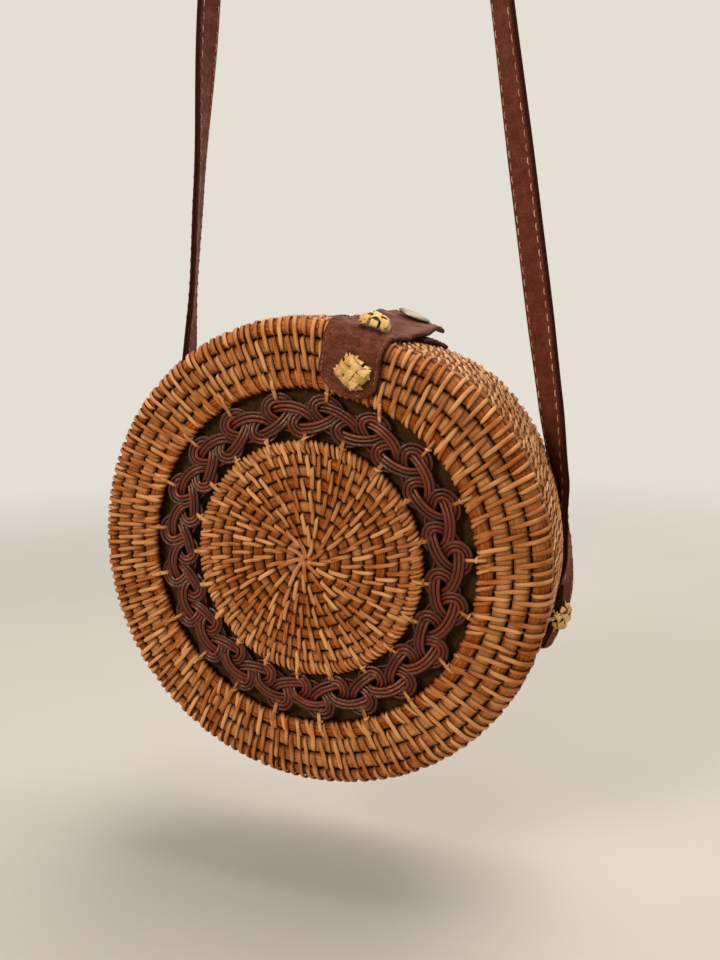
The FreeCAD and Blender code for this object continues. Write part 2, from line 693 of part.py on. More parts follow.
def main():
    """Build every piece and write one file for each."""
    os.makedirs("parts", exist_ok=True)
    nodes = strap_nodes()
    for group in (rear_nodes(), front_nodes(), flap_nodes()):
        for name, shape in group.items():
            nodes[name] = hung(shape)
    for name, shape in nodes.items():
        shape.exportStep("parts/" + name + ".step")
        print(name, "solids", len(shape.Solids), "volume", round(shape.Volume, 1), "valid", shape.isValid())


main()
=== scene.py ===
"""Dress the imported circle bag: woven rattan, plaited rings, leather flap and strap, and its studio."""

import json
import logging
import math
from collections.abc import Callable, Sequence
from dataclasses import dataclass, field
from enum import Enum

import bpy
import numpy as np
from mathutils import Matrix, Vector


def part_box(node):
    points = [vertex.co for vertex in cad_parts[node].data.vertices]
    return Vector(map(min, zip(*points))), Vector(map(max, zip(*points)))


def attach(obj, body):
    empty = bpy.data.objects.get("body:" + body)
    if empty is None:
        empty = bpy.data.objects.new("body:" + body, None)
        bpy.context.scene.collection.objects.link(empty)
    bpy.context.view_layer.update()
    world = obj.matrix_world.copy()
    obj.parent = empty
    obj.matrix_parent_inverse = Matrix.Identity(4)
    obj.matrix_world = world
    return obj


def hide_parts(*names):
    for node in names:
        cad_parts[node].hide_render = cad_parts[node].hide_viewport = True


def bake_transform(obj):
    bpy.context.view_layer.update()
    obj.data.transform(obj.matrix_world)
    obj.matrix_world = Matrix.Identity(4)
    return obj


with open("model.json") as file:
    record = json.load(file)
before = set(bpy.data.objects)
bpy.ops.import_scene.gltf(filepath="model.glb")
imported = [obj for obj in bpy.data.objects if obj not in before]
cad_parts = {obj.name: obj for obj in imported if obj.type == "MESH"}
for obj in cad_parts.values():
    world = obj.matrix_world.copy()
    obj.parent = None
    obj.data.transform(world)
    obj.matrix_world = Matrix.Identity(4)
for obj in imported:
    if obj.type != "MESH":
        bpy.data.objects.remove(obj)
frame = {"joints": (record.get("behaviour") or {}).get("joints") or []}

Array = np.ndarray
Colour = tuple[float, float, float, float]
Triple = tuple[float, float, float]
Placer = Callable[[Array], Array]

LOG = logging.getLogger("circle_bag")
MILLIMETRE = 0.001
FULL_TURN = 2 * math.pi
QUARTER_TURN = math.pi / 2
X_AXIS, Y_AXIS, Z_AXIS = np.eye(3)


def paint(red: int, green: int, blue: int) -> Colour:
    """A colour as it shows on a screen, as the linear colour that a shader takes.

    Args:
        red: Red share, from 0 to 255.
        green: Green share.
        blue: Blue share.

    Returns:
        The linear colour with full alpha.
    """
    shares = [value / 255 for value in (red, green, blue)]
    linear = [share / 12.92 if share <= 0.04045 else ((share + 0.055) / 1.055) ** 2.4 for share in shares]
    return (*linear, 1.0)


def ease(value: Array) -> Array:
    """Values clipped to 0 and 1, with a soft start and end."""
    share = np.clip(value, 0.0, 1.0)
    return share * share * (3 - 2 * share)


def unit(vectors: Array) -> Array:
    """Vectors scaled to length one along their last axis."""
    return vectors / np.maximum(np.linalg.norm(vectors, axis=-1, keepdims=True), 1e-9)


def joined(*parts: Array | float) -> Array:
    """Coordinates side by side along the last axis of one array."""
    return np.stack(np.broadcast_arrays(*parts), axis=-1)


def lengths_along(line: Array) -> Array:
    """The way from the first point of a line to each of its points."""
    return np.concatenate([[0.0], np.cumsum(np.linalg.norm(np.diff(line, axis=0), axis=1))])


def eased_between(places: Array, knots: Sequence[float], values: Sequence[float]) -> Array:
    """Values that ease from each knot to the next.

    Args:
        places: Where the values are wanted.
        knots: Rising places of the known values.
        values: The known values.

    Returns:
        One value for each place.
    """
    ranks = np.interp(places, knots, np.arange(len(knots)))
    low = np.clip(np.floor(ranks).astype(int), 0, len(knots) - 2)
    known = np.asarray(values, float)
    return known[low] + (known[low + 1] - known[low]) * ease(ranks - low)


class Half(Enum):
    """The two woven halves of the bag."""

    FRONT = "front"
    REAR = "rear"

    @property
    def body(self) -> str:
        """The moving body that the half's pieces ride on."""
        return self.value + "_half"


class Body(Enum):
    """The other moving bodies."""

    STRAP = "strap"
    FLAP = "flap"


class Slot(Enum):
    """Material slots of the part's record."""

    RATTAN = "rattan"
    PALE_RATTAN = "pale_rattan"
    DARK_CORD = "dark_cord"
    LINING = "lining"
    LEATHER = "leather"
    SNAP_METAL = "snap_metal"


@dataclass(frozen=True)
class Sag:
    """Where the woven edge has sunk: its middle and its spread in degrees, and its depth."""

    middle: float
    depth: float
    spread: float

    def dip(self, angle: Array) -> Array:
        """How far the edge has sunk at angles round the bag's axis."""
        away = (1 - np.cos(angle - math.radians(self.middle))) / math.radians(self.spread) ** 2
        return self.depth * np.exp(-away)


@dataclass(frozen=True)
class BagFrame:
    """Places points of the bag's own frame, in millimetres, in the shared frame, in metres.

    The bag's axis is along y, its front face lies at y = 0 and the middle of its flap at +z.
    """

    roll: float
    hang_height: float
    strap_depth: float
    depth: float = 70.0
    sags: tuple[Sag, ...] = (Sag(84.0, 3.8, 11.0), Sag(92.0, 2.0, 7.0), Sag(186.0, 1.2, 25.0))
    firm_radius: float = 55.0
    sinking_width: float = 40.0
    drawn_depth: float = 44.0
    rear_taper: float = 3.5
    taper_start: float = 26.0
    taper_side: float = math.radians(5.0)
    least_taper: float = 0.3
    knot_dent: float = 5.0
    dent_start: float = 4.0
    dent_turn: float = 0.05
    dent_spread: float = 0.17

    @classmethod
    def from_joints(cls, joints: Sequence[dict]) -> "BagFrame":
        """Find the bag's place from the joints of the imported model.

        Args:
            joints: The joints as the frame gives them.

        Returns:
            The frame of the bag.
        """
        by_name = {joint["name"]: joint for joint in joints}
        swing = by_name["strap_swing"]
        roll = math.atan2(-swing["axis"][2], swing["axis"][0])
        strap_depth = cls.depth / 2 - by_name["front_open"]["pos_m"][1] / MILLIMETRE
        return cls(roll, -swing["pos_m"][2] / MILLIMETRE, strap_depth)

    def front(self, points: Array) -> Array:
        """Bring points of the front half's frame into the shared frame.

        Args:
            points: Points in millimetres.

        Returns:
            The points in metres.
        """
        x, y, z = self.settled(points)
        across = x * math.cos(self.roll) + z * math.sin(self.roll)
        up = z * math.cos(self.roll) - x * math.sin(self.roll) - self.hang_height
        return joined(across, y - self.strap_depth, up) * MILLIMETRE

    def settled(self, points: Array) -> tuple[Array, Array, Array]:
        """Where points come to lie once the woven edge has sunk under the flap and the rear has drawn in.

        Args:
            points: Points of the bag's own frame.

        Returns:
            Their new x, y and z.
        """
        x, y, z = np.moveaxis(points, -1, 0)
        radius = np.maximum(np.hypot(x, z), 1.0)
        angle = np.arctan2(z, x)
        dip = sum(sag.dip(angle) for sag in self.sags)
        sideways = self.least_taper + (1 - self.least_taper) * np.cos(angle - self.taper_side) ** 2
        dip = dip + self.rear_taper * sideways * ease((y - self.taper_start) / self.drawn_depth)
        dent = np.exp(-(np.sin(angle + self.dent_turn) / self.dent_spread) ** 2)
        dip = dip + self.knot_dent * dent * ease((y - self.dent_start) / self.drawn_depth)
        share = 1 - dip * ease((radius - self.firm_radius) / self.sinking_width) / radius
        return x * share, y, z * share

    def rear(self, points: Array) -> Array:
        """Points of a half that is turned to face the rear."""
        return self.front(points * np.array([-1.0, -1.0, 1.0]) + self.depth * Y_AXIS)

    def local(self, points: Array) -> Array:
        """Bring points of the shared frame into the bag's own frame.

        Args:
            points: Points in metres.

        Returns:
            The points in millimetres.
        """
        x, y, z = np.moveaxis(points / MILLIMETRE, -1, 0)
        up = z + self.hang_height
        across = x * math.cos(self.roll) - up * math.sin(self.roll)
        return joined(across, y + self.strap_depth, x * math.sin(self.roll) + up * math.cos(self.roll))

    def placer(self, half: Half) -> Placer:
        """The function that places the points of one half."""
        return self.front if half is Half.FRONT else self.rear


def as_metres(points: Array) -> Array:
    """Points of the shared frame in millimetres, in metres."""
    return points * MILLIMETRE


def round_section(sides: int) -> Array:
    """A circle of radius one as points across a strand."""
    angles = np.arange(sides) * FULL_TURN / sides
    return joined(np.cos(angles), np.sin(angles))


def split_section(sides: int) -> Array:
    """A split cane: rounded over, with fuller shoulders than a circle."""
    circle = round_section(sides)
    return np.sign(circle) * np.abs(circle) ** np.array([0.8, 0.9])


def strip_section(half_width: float, half_height: float, flats: int, rounds: int = 3) -> Array:
    """A flat strip with round edges.

    Args:
        half_width: Half of the strip's width.
        half_height: Half of its thickness.
        flats: Points across each flat side.
        rounds: Points inside each round edge.

    Returns:
        Points across and up, anticlockwise from the right edge.
    """
    turn = np.linspace(-QUARTER_TURN, QUARTER_TURN, rounds + 2)[1:-1]
    reach = half_width - half_height
    edge = joined(reach + half_height * np.cos(turn), half_height * np.sin(turn))
    upper = joined(np.linspace(reach, -reach, flats), half_height)
    return np.concatenate([edge, upper, -edge, -upper])


CANE_SECTION = split_section(8)
FLAT_CANE_SECTION = strip_section(1.0, 0.16, 5)


def strand_grids(path: Array, up: Array, section: Array, widths: Array | float,
                 heights: Array | float) -> Array:
    """Sweep a section along strands.

    Args:
        path: Points by strand and step.
        up: Direction of the section's upper side at each point.
        section: Points across and up.
        widths: Scale across, by strand and step, or one for all.
        heights: Scale upwards, by strand and step, or one for all.

    Returns:
        Points by strand, step along and step across.
    """
    tangent = unit(np.gradient(path, axis=1))
    side = unit(np.cross(up, tangent))
    rise = np.cross(tangent, side)
    shape = path.shape[:2] + (1, 1)
    across = np.broadcast_to(widths, path.shape[:2]).reshape(shape) * section[:, :1]
    upward = np.broadcast_to(heights, path.shape[:2]).reshape(shape) * section[:, 1:]
    return path[:, :, None, :] + side[:, :, None, :] * across + rise[:, :, None, :] * upward


def strand_grain(grids: Array, lots: Array) -> Array:
    """The run along, the run across and the lot of each point of swept strands, for the finishes.

    Args:
        grids: Points by strand, step along and step across.
        lots: One number from 0 to 1 for each strand.

    Returns:
        Three values for each point.
    """
    steps = np.linalg.norm(np.diff(grids.mean(axis=2), axis=1), axis=-1)
    along = np.concatenate([np.zeros((len(grids), 1)), np.cumsum(steps, axis=1)], axis=1)
    girth = np.linalg.norm(np.diff(grids[:, :1], axis=2), axis=-1).sum(axis=2)
    across = np.arange(grids.shape[2]) / grids.shape[2]
    return joined(along[:, :, None], girth[:, :, None] * across, lots[:, None, None])


@dataclass
class Draft:
    """The growing mesh of one piece: points, quads and the values that its finishes read."""

    points: list[Array] = field(default_factory=list)
    grains: list[Array] = field(default_factory=list)
    shades: list[Array] = field(default_factory=list)
    quads: list[Array] = field(default_factory=list)
    kinds: list[Array] = field(default_factory=list)
    count: int = 0

    def add(self, grids: Array, grain: Array, shade: Array | float = 1.0, kind: int = 0, wrap: bool = True,
            caps: bool = False) -> None:
        """Add grids of points as skins of quads.

        Args:
            grids: Points by strand, step along and step across.
            grain: The run along, the run across and the lot of each point.
            shade: Painted shade, 1 for none and 0 for the full gap colour in gaps, grooves and under
                crossings; on leather, 0 marks the cut edge, which takes the edge's own colour.
            kind: Which of the piece's finishes the quads have.
            wrap: Whether the last step across joins the first.
            caps: Whether both ends are closed.
        """
        strands, along, across = grids.shape[:3]
        index = self.count + np.arange(strands * along * across).reshape(strands, along, across)
        left = index if wrap else index[:, :, :-1]
        right = np.roll(index, -1, axis=2) if wrap else index[:, :, 1:]
        skins = [joined(left[:, :-1], right[:, :-1], right[:, 1:], left[:, 1:]).reshape(-1, 4)]
        if caps:
            for ring in (index[:, 0, ::-1], index[:, -1]):
                for step in range(across // 2 - 1):
                    skins.append(ring[:, [step, step + 1, across - 2 - step, across - 1 - step]])
        self.quads.extend(skins)
        self.kinds.extend(np.full(len(skin), kind) for skin in skins)
        self.points.append(grids.reshape(-1, 3))
        self.grains.append(grain.reshape(-1, 3))
        self.shades.append(np.broadcast_to(shade, grids.shape[:3]).reshape(-1))
        self.count += strands * along * across

    def strands(self, path: Array, up: Array, section: Array, widths: Array | float, heights: Array | float,
                lots: Array, shade: Array | float = 1.0, kind: int = 0, caps: bool = False,
                sides: float = 0.3) -> None:
        """Sweep a section along strands and add them.

        Args:
            path: Points by strand and step, or by step for a single strand.
            up: Direction of the section's upper side at each point.
            section: Points across and up.
            widths: Scale across.
            heights: Scale upwards.
            lots: One number from 0 to 1 for each strand.
            shade: Painted shade by strand and step, 1 for none, or one for all.
            kind: Which of the piece's finishes the strands have.
            caps: Whether the ends are closed.
            sides: Painted shade at the strands' sides: the share of the top's brightness that they keep.
        """
        path = path.reshape(-1, *path.shape[-2:])
        grids = strand_grids(path, np.broadcast_to(up, path.shape), section, widths, heights)
        # Painted shade: each strand's sides are darkened towards its finish's gap colour, standing in for
        # the shade in the grooves between strands.
        rise = section[:, 1] / section[:, 1].max()
        painted_side_shade = sides + (1 - sides) * ease((rise + 0.1) / 0.8)
        painted_shade = np.broadcast_to(shade, path.shape[:2])[:, :, None] * painted_side_shade
        self.add(grids, strand_grain(grids, lots), painted_shade, kind, caps=caps)

    def build(self, name: str, finishes: Sequence[bpy.types.Material], place: Placer) -> bpy.types.Object:
        """Make the Blender object of the piece.

        Args:
            name: Name of the piece.
            finishes: Its materials, in the order of the kinds.
            place: Function that brings the points into the shared frame.

        Returns:
            The object, in place and not yet riding on a body.
        """
        quads = np.concatenate(self.quads).astype(np.int32)
        points = place(np.concatenate(self.points)).astype(np.float32)
        mesh = bpy.data.meshes.new(name)
        mesh.vertices.add(len(points))
        mesh.vertices.foreach_set("co", points.ravel())
        mesh.loops.add(quads.size)
        mesh.loops.foreach_set("vertex_index", quads.ravel())
        mesh.polygons.add(len(quads))
        mesh.polygons.foreach_set("loop_start", np.arange(0, quads.size, 4, dtype=np.int32))
        mesh.polygons.foreach_set("material_index", np.concatenate(self.kinds).astype(np.int32))
        mesh.polygons.foreach_set("use_smooth", np.ones(len(quads), dtype=bool))
        grain = mesh.attributes.new("grain", "FLOAT_VECTOR", "POINT")
        grain.data.foreach_set("vector", np.concatenate(self.grains).astype(np.float32).ravel())
        shade = mesh.attributes.new("shade", "FLOAT", "POINT")
        shade.data.foreach_set("value", np.concatenate(self.shades).astype(np.float32))
        mesh.update(calc_edges=True)
        for finish in finishes:
            mesh.materials.append(finish)
        piece = bpy.data.objects.new(name, mesh)
        bpy.context.scene.collection.objects.link(piece)
        return piece


def settle(piece: bpy.types.Object, slot: Slot, *nodes: str, body: str | None = None) -> None:
    """Let a piece ride in place of CAD nodes, and report it.

    Args:
        piece: The piece, in place.
        slot: The record's material slot; not used.
        nodes: The nodes that it stands for.
        body: The body that it rides on, if any.
    """
    if body:
        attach(piece, body)
    if nodes:
        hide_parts(*nodes)
    LOG.info("%s: %d faces", piece.name, len(piece.data.polygons))


Socket = bpy.types.NodeSocket
Value = Socket | float | Sequence[float]
Inputs = dict[str | int, Value]

NUMBER = "NodeSocketFloat"
VECTOR = "NodeSocketVector"
COLOUR = "NodeSocketColor"
KIND_OF_SIZE = {1: NUMBER, 3: VECTOR, 4: COLOUR}
ORIGIN: Triple = (0.0, 0.0, 0.0)
GREY: Colour = (0.5, 0.5, 0.5, 1.0)
WARM_GLINT: Colour = (1.0, 0.82, 0.62, 1.0)


@dataclass
class NodeSheet:
    """Adds and joins the nodes of one material or node group."""

    tree: bpy.types.NodeTree

    def add(self, kind: str, inputs: Inputs | None = None, **settings: object) -> bpy.types.Node:
        """Add a node, with its settings and what its inputs take.

        Args:
            kind: Type of the node.
            inputs: Values or sockets by the input's name or number.
            settings: Attributes of the node.

        Returns:
            The new node.
        """
        node = self.tree.nodes.new(kind)
        for label, setting in settings.items():
            setattr(node, label, setting)
        self.feed(node, inputs or {})
        return node

    def feed(self, node: bpy.types.Node, inputs: Inputs) -> None:
        """Link sockets to a node's inputs, or set the inputs' own values.

        Args:
            node: The node.
            inputs: Values or sockets by the input's name or number.
        """
        for label, value in inputs.items():
            if isinstance(value, Socket):
                self.tree.links.new(value, node.inputs[label])
            else:
                node.inputs[label].default_value = value

    def math(self, operation: str, first: Value, second: Value = 0.0) -> Socket:
        """The result of a math node."""
        return self.add("ShaderNodeMath", {0: first, 1: second}, operation=operation).outputs[0]

    def mix(self, share: Value, first: Value, second: Value) -> Socket:
        """The colour between two colours."""
        return self.add("ShaderNodeMix", {0: share, 6: first, 7: second}, data_type="RGBA").outputs[2]

    def spread(self, value: Value, low: float, high: float, to_low: float = 0.0,
               to_high: float = 1.0) -> Socket:
        """A value mapped softly from one range to another."""
        ranges = {0: value, 1: low, 2: high, 3: to_low, 4: to_high}
        return self.add("ShaderNodeMapRange", ranges, interpolation_type="SMOOTHSTEP").outputs[0]

    def noise(self, place: Value, scale: float, detail: float, roughness: float = 0.55) -> Socket:
        """The value of a noise texture."""
        inputs = {"Vector": place, "Scale": scale, "Detail": detail, "Roughness": roughness}
        return self.add("ShaderNodeTexNoise", inputs).outputs[0]

    def stretched(self, place: Value, scales: Sequence[Value]) -> Socket:
        """A place with each of its three parts scaled on its own."""
        scaled = [self.math("MULTIPLY", part, scale) for part, scale in zip(self.parts(place), scales)]
        return self.add("ShaderNodeCombineXYZ", dict(enumerate(scaled))).outputs[0]

    def parts(self, place: Value) -> list[Socket]:
        """The three parts of a place."""
        return list(self.add("ShaderNodeSeparateXYZ", {0: place}).outputs)

    def drawn(self, name: str) -> Socket:
        """What the mesh holds at each point: three numbers for the grain, one for the shade."""
        output = "Vector" if name == "grain" else "Fac"
        return self.add("ShaderNodeAttribute", attribute_name=name).outputs[output]

    def bump(self, height: Value, relief: float) -> Socket:
        """The normal over a height whose full relief is given in millimetres."""
        inputs = {"Strength": 1.0, "Distance": relief * MILLIMETRE, "Height": height}
        return self.add("ShaderNodeBump", inputs).outputs[0]

    def group(self, tree: bpy.types.NodeTree, inputs: Inputs) -> bpy.types.NodeOutputs:
        """What a shared node group puts out for its own inputs."""
        return self.add("ShaderNodeGroup", inputs, node_tree=tree).outputs


def open_group(name: str, inputs: dict[str, object],
               outputs: dict[str, str]) -> tuple[NodeSheet, bpy.types.NodeOutputs, bpy.types.Node]:
    """Start a shader node group.

    Args:
        name: Name of the group.
        inputs: First value of each input, which also says its type.
        outputs: Socket type of each output.

    Returns:
        The group's sheet, what its inputs give and its output node.
    """
    tree = bpy.data.node_groups.new(name, "ShaderNodeTree")
    for label, value in inputs.items():
        kind = KIND_OF_SIZE[np.size(value)]
        tree.interface.new_socket(name=label, in_out="INPUT", socket_type=kind).default_value = value
    for label, kind in outputs.items():
        tree.interface.new_socket(name=label, in_out="OUTPUT", socket_type=kind)
    sheet = NodeSheet(tree)
    return sheet, sheet.add("NodeGroupInput").outputs, sheet.add("NodeGroupOutput")


def fibre_group() -> bpy.types.NodeTree:
    """Fine fibres along a strand, slow patches on it and its own lot.

    Returns:
        The group.
    """
    sheet, given, made = open_group("strand_fibre", {"Grain": ORIGIN, "Stretch": 0.1, "Fineness": 2.5},
                                    {"Fibre": NUMBER, "Patch": NUMBER, "Lot": NUMBER})
    fine = sheet.stretched(given["Grain"], (given["Stretch"], given["Fineness"], 47.0))
    slow = sheet.stretched(given["Grain"], (0.07, 0.2, 83.0))
    sheet.feed(made, {"Fibre": sheet.spread(sheet.noise(fine, 1.0, 4.0, 0.65), 0.3, 0.7),
                      "Patch": sheet.spread(sheet.noise(slow, 1.0, 2.0), 0.3, 0.7),
                      "Lot": sheet.parts(given["Grain"])[2]})
    return sheet.tree


def tone_group() -> bpy.types.NodeTree:
    """A colour from three tones, by fibre, patch and lot, that sinks by the shade value into the gap colour:
    painted shade on cane and cords, the cut edge's own colour on leather.

    Returns:
        The group.
    """
    tones = dict.fromkeys(("Dark", "Middle", "Light", "Painted Shade Or Edge"), GREY)
    shares = dict.fromkeys(("Fibre", "Patch", "Lot"), 0.5)
    sheet, given, made = open_group("tone_range", {**tones, **shares, "Shade": 1.0}, {"Color": COLOUR})
    streaked = sheet.mix(given["Fibre"], given["Dark"], given["Middle"])
    lot = sheet.math("MULTIPLY", given["Lot"], 0.65)
    brightness = sheet.math("ADD", lot, sheet.math("MULTIPLY", given["Patch"], 0.35))
    toned = sheet.mix(sheet.spread(brightness, 0.25, 0.95), streaked, given["Light"])
    # Painted shade: where the shade value is low the colour sinks into the gap colour; on leather this is
    # the cut edge's own colour.
    sheet.feed(made, {"Color": sheet.mix(given["Shade"], given["Painted Shade Or Edge"], toned)})
    return sheet.tree


def hide_group() -> bpy.types.NodeTree:
    """The pebbled grain, the creases across and the cloudy colour of leather.

    Returns:
        The group.
    """
    sheet, given, made = open_group("hide_grain", {"Grain": ORIGIN, "Pebbles": 1.2, "Creases": 0.5},
                                    {"Height": NUMBER, "Cloud": NUMBER, "Pore": NUMBER})
    grain, pebbles = given["Grain"], given["Pebbles"]
    stir = sheet.add("ShaderNodeTexNoise", {"Vector": grain, "Scale": 0.9, "Detail": 2.0}).outputs[1]
    bent = sheet.add("ShaderNodeVectorMath", {0: grain, 1: stir}, operation="ADD").outputs[0]
    pebbled = sheet.stretched(bent, (pebbles, pebbles, 9.0))
    cells = sheet.add("ShaderNodeTexVoronoi", {"Vector": pebbled, "Scale": 1.0}, feature="DISTANCE_TO_EDGE")
    dome = sheet.spread(cells.outputs[0], 0.0, 0.35)
    folds = sheet.noise(sheet.stretched(bent, (0.34, 0.07, 9.0)), 1.0, 3.0, 0.5)
    ridge = sheet.math("ABSOLUTE", sheet.math("SUBTRACT", folds, 0.5))
    crease = sheet.math("MULTIPLY", sheet.spread(ridge, 0.03, 0.0), given["Creases"])
    sheet.feed(made, {"Height": sheet.math("SUBTRACT", sheet.math("MULTIPLY", dome, 0.4), crease),
                      "Cloud": sheet.spread(sheet.noise(grain, 0.16, 3.0), 0.3, 0.7),
                      "Pore": sheet.math("SUBTRACT", dome, sheet.math("MULTIPLY", crease, 0.7))})
    return sheet.tree


def cloth_group() -> bpy.types.NodeTree:
    """The over and under of a plain woven cloth, with its slubs.

    Returns:
        The group.
    """
    sheet, given, made = open_group("plain_cloth", {"Grain": ORIGIN, "Threads": 9.0},
                                    {"Height": NUMBER, "Slub": NUMBER})
    ways = sheet.parts(given["Grain"])[:2]
    waves = [sheet.math("SINE", sheet.math("MULTIPLY", way, given["Threads"])) for way in ways]
    slubs = [sheet.noise(sheet.stretched(given["Grain"], scales), 1.0, 2.0)
             for scales in ((0.25, 3.0, 1.0), (3.0, 0.25, 1.0))]
    sheet.feed(made, {"Height": sheet.math("MULTIPLY", *waves),
                      "Slub": sheet.spread(sheet.math("ADD", *slubs), 0.7, 1.3)})
    return sheet.tree


@dataclass(frozen=True)
class NodeGroups:
    """The shader node groups that the finishes share."""

    fibre: bpy.types.NodeTree
    tone: bpy.types.NodeTree
    hide: bpy.types.NodeTree
    cloth: bpy.types.NodeTree


def open_material(name: str) -> tuple[NodeSheet, bpy.types.Node, bpy.types.Material]:
    """Start a material with one principled shader.

    Args:
        name: Name of the material.

    Returns:
        The material's sheet, its shader and the material.
    """
    material = bpy.data.materials.new(name)
    material.use_nodes = True
    material.node_tree.nodes.clear()
    sheet = NodeSheet(material.node_tree)
    shader = sheet.add("ShaderNodeBsdfPrincipled")
    sheet.add("ShaderNodeOutputMaterial", {"Surface": shader.outputs[0]})
    return sheet, shader, material


@dataclass(frozen=True)
class Finish:
    """A finish by its name. Each kind says what its shader's inputs take."""

    name: str

    def material(self, groups: NodeGroups) -> bpy.types.Material:
        """Build the material of this finish.

        Args:
            groups: The shared node groups.

        Returns:
            The material.
        """
        sheet, shader, material = open_material(self.name)
        sheet.feed(shader, self.look(sheet, groups))
        return material

    def look(self, sheet: NodeSheet, groups: NodeGroups) -> Inputs:
        """What the shader's inputs take."""
        raise NotImplementedError


@dataclass(frozen=True)
class TonedFinish(Finish):
    """A finish in three tones, with its gap colour (painted shade on cane and cords, the cut edge's own
    colour on leather), its gloss and its relief.
    """

    dark: Colour
    middle: Colour
    light: Colour
    # gap: colour of painted shade in gaps, grooves and under crossings; for leathers, the cut edge's own
    # colour.
    gap: Colour
    gloss_rough: float = 0.36
    worn_rough: float = 0.6
    relief: float = 0.12
    specular: float = 0.07

    def toned(self, sheet: NodeSheet, groups: NodeGroups, shares: Inputs, gloss: Socket,
              height: Socket) -> Inputs:
        """What the shader's inputs take.

        Args:
            sheet: The material's sheet.
            groups: The shared node groups.
            shares: What the tones are mixed by.
            gloss: 0 where the surface is worn and 1 where it is glossy.
            height: Height of the relief.

        Returns:
            Values or sockets by the input's name.
        """
        tones = {"Dark": self.dark, "Middle": self.middle, "Light": self.light, "Painted Shade Or Edge": self.gap}
        colour = sheet.group(groups.tone, {**tones, **shares, "Shade": sheet.drawn("shade")})["Color"]
        rough = sheet.spread(gloss, 0.0, 1.0, self.worn_rough, self.gloss_rough)
        return {"Base Color": colour, "Roughness": rough, "Normal": sheet.bump(height, self.relief),
                "Specular IOR Level": self.specular, "Specular Tint": WARM_GLINT}


@dataclass(frozen=True)
class StrandFinish(TonedFinish):
    """The look of a fibre strand, with its fibres' stretch and fineness."""

    stretch: float = 0.1
    fineness: float = 2.6

    def look(self, sheet: NodeSheet, groups: NodeGroups) -> Inputs:
        """What the shader's inputs take.

        Args:
            sheet: The material's sheet.
            groups: The shared node groups.

        Returns:
            Values or sockets by the input's name.
        """
        fibre = sheet.group(groups.fibre, {"Grain": sheet.drawn("grain"), "Stretch": self.stretch,
                                           "Fineness": self.fineness})
        shares = {label: fibre[label] for label in ("Fibre", "Patch", "Lot")}
        return self.toned(sheet, groups, shares, fibre["Fibre"], fibre["Fibre"])


@dataclass(frozen=True)
class LeatherFinish(TonedFinish):
    """The look of a leather, with its pebbles and its creases."""

    pebbles: float = 1.2
    creases: float = 0.5
    gloss_rough: float = 0.42
    worn_rough: float = 0.62
    specular: float = 0.08
    lot: float = 0.4

    def look(self, sheet: NodeSheet, groups: NodeGroups) -> Inputs:
        """What the shader's inputs take.

        Args:
            sheet: The material's sheet.
            groups: The shared node groups.

        Returns:
            Values or sockets by the input's name.
        """
        hide = sheet.group(groups.hide, {"Grain": sheet.drawn("grain"), "Pebbles": self.pebbles,
                                         "Creases": self.creases})
        cloud = sheet.spread(hide["Cloud"], 0.0, 1.0, 0.3, 0.65)
        shares = {"Fibre": hide["Pore"], "Patch": cloud, "Lot": self.lot}
        return self.toned(sheet, groups, shares, hide["Cloud"], hide["Height"])


@dataclass(frozen=True)
class ClothFinish(Finish):
    """The look of the plain lining cloth."""

    dark: Colour
    middle: Colour
    light: Colour
    threads: float = 9.0
    relief: float = 0.1
    slub_share: float = 0.5
    specular: float = 0.1

    def look(self, sheet: NodeSheet, groups: NodeGroups) -> Inputs:
        """What the shader's inputs take.

        Args:
            sheet: The material's sheet.
            groups: The shared node groups.

        Returns:
            Values or sockets by the input's name.
        """
        cloth = sheet.group(groups.cloth, {"Grain": sheet.drawn("grain"), "Threads": self.threads})
        over = sheet.spread(cloth["Height"], -1.0, 1.0)
        slub = sheet.math("MULTIPLY", cloth["Slub"], self.slub_share)
        return {"Base Color": sheet.mix(slub, sheet.mix(over, self.dark, self.middle), self.light),
                "Roughness": sheet.spread(cloth["Slub"], 0.0, 1.0, 0.95, 0.8),
                "Normal": sheet.bump(over, self.relief), "Specular IOR Level": self.specular}


@dataclass(frozen=True)
class MetalFinish(Finish):
    """The look of the snap's plated metal: bright, finely brushed and a little tarnished."""

    bright: Colour
    tarnish: Colour
    tarnish_share: float = 0.45
    relief: float = 0.02

    def look(self, sheet: NodeSheet, groups: NodeGroups) -> Inputs:
        """What the shader's inputs take.

        Args:
            sheet: The material's sheet.
            groups: The shared node groups.

        Returns:
            Values or sockets by the input's name.
        """
        place = sheet.add("ShaderNodeTexCoord").outputs["Object"]
        grain = sheet.stretched(place, (1 / MILLIMETRE,) * 3)
        fibre = sheet.group(groups.fibre, {"Grain": grain, "Stretch": 0.35, "Fineness": 3.0})
        tarnish = sheet.math("MULTIPLY", fibre["Patch"], self.tarnish_share)
        return {"Base Color": sheet.mix(tarnish, self.bright, self.tarnish),
                "Roughness": sheet.spread(fibre["Patch"], 0.0, 1.0, 0.2, 0.34),
                "Normal": sheet.bump(fibre["Fibre"], self.relief), "Metallic": 1.0}


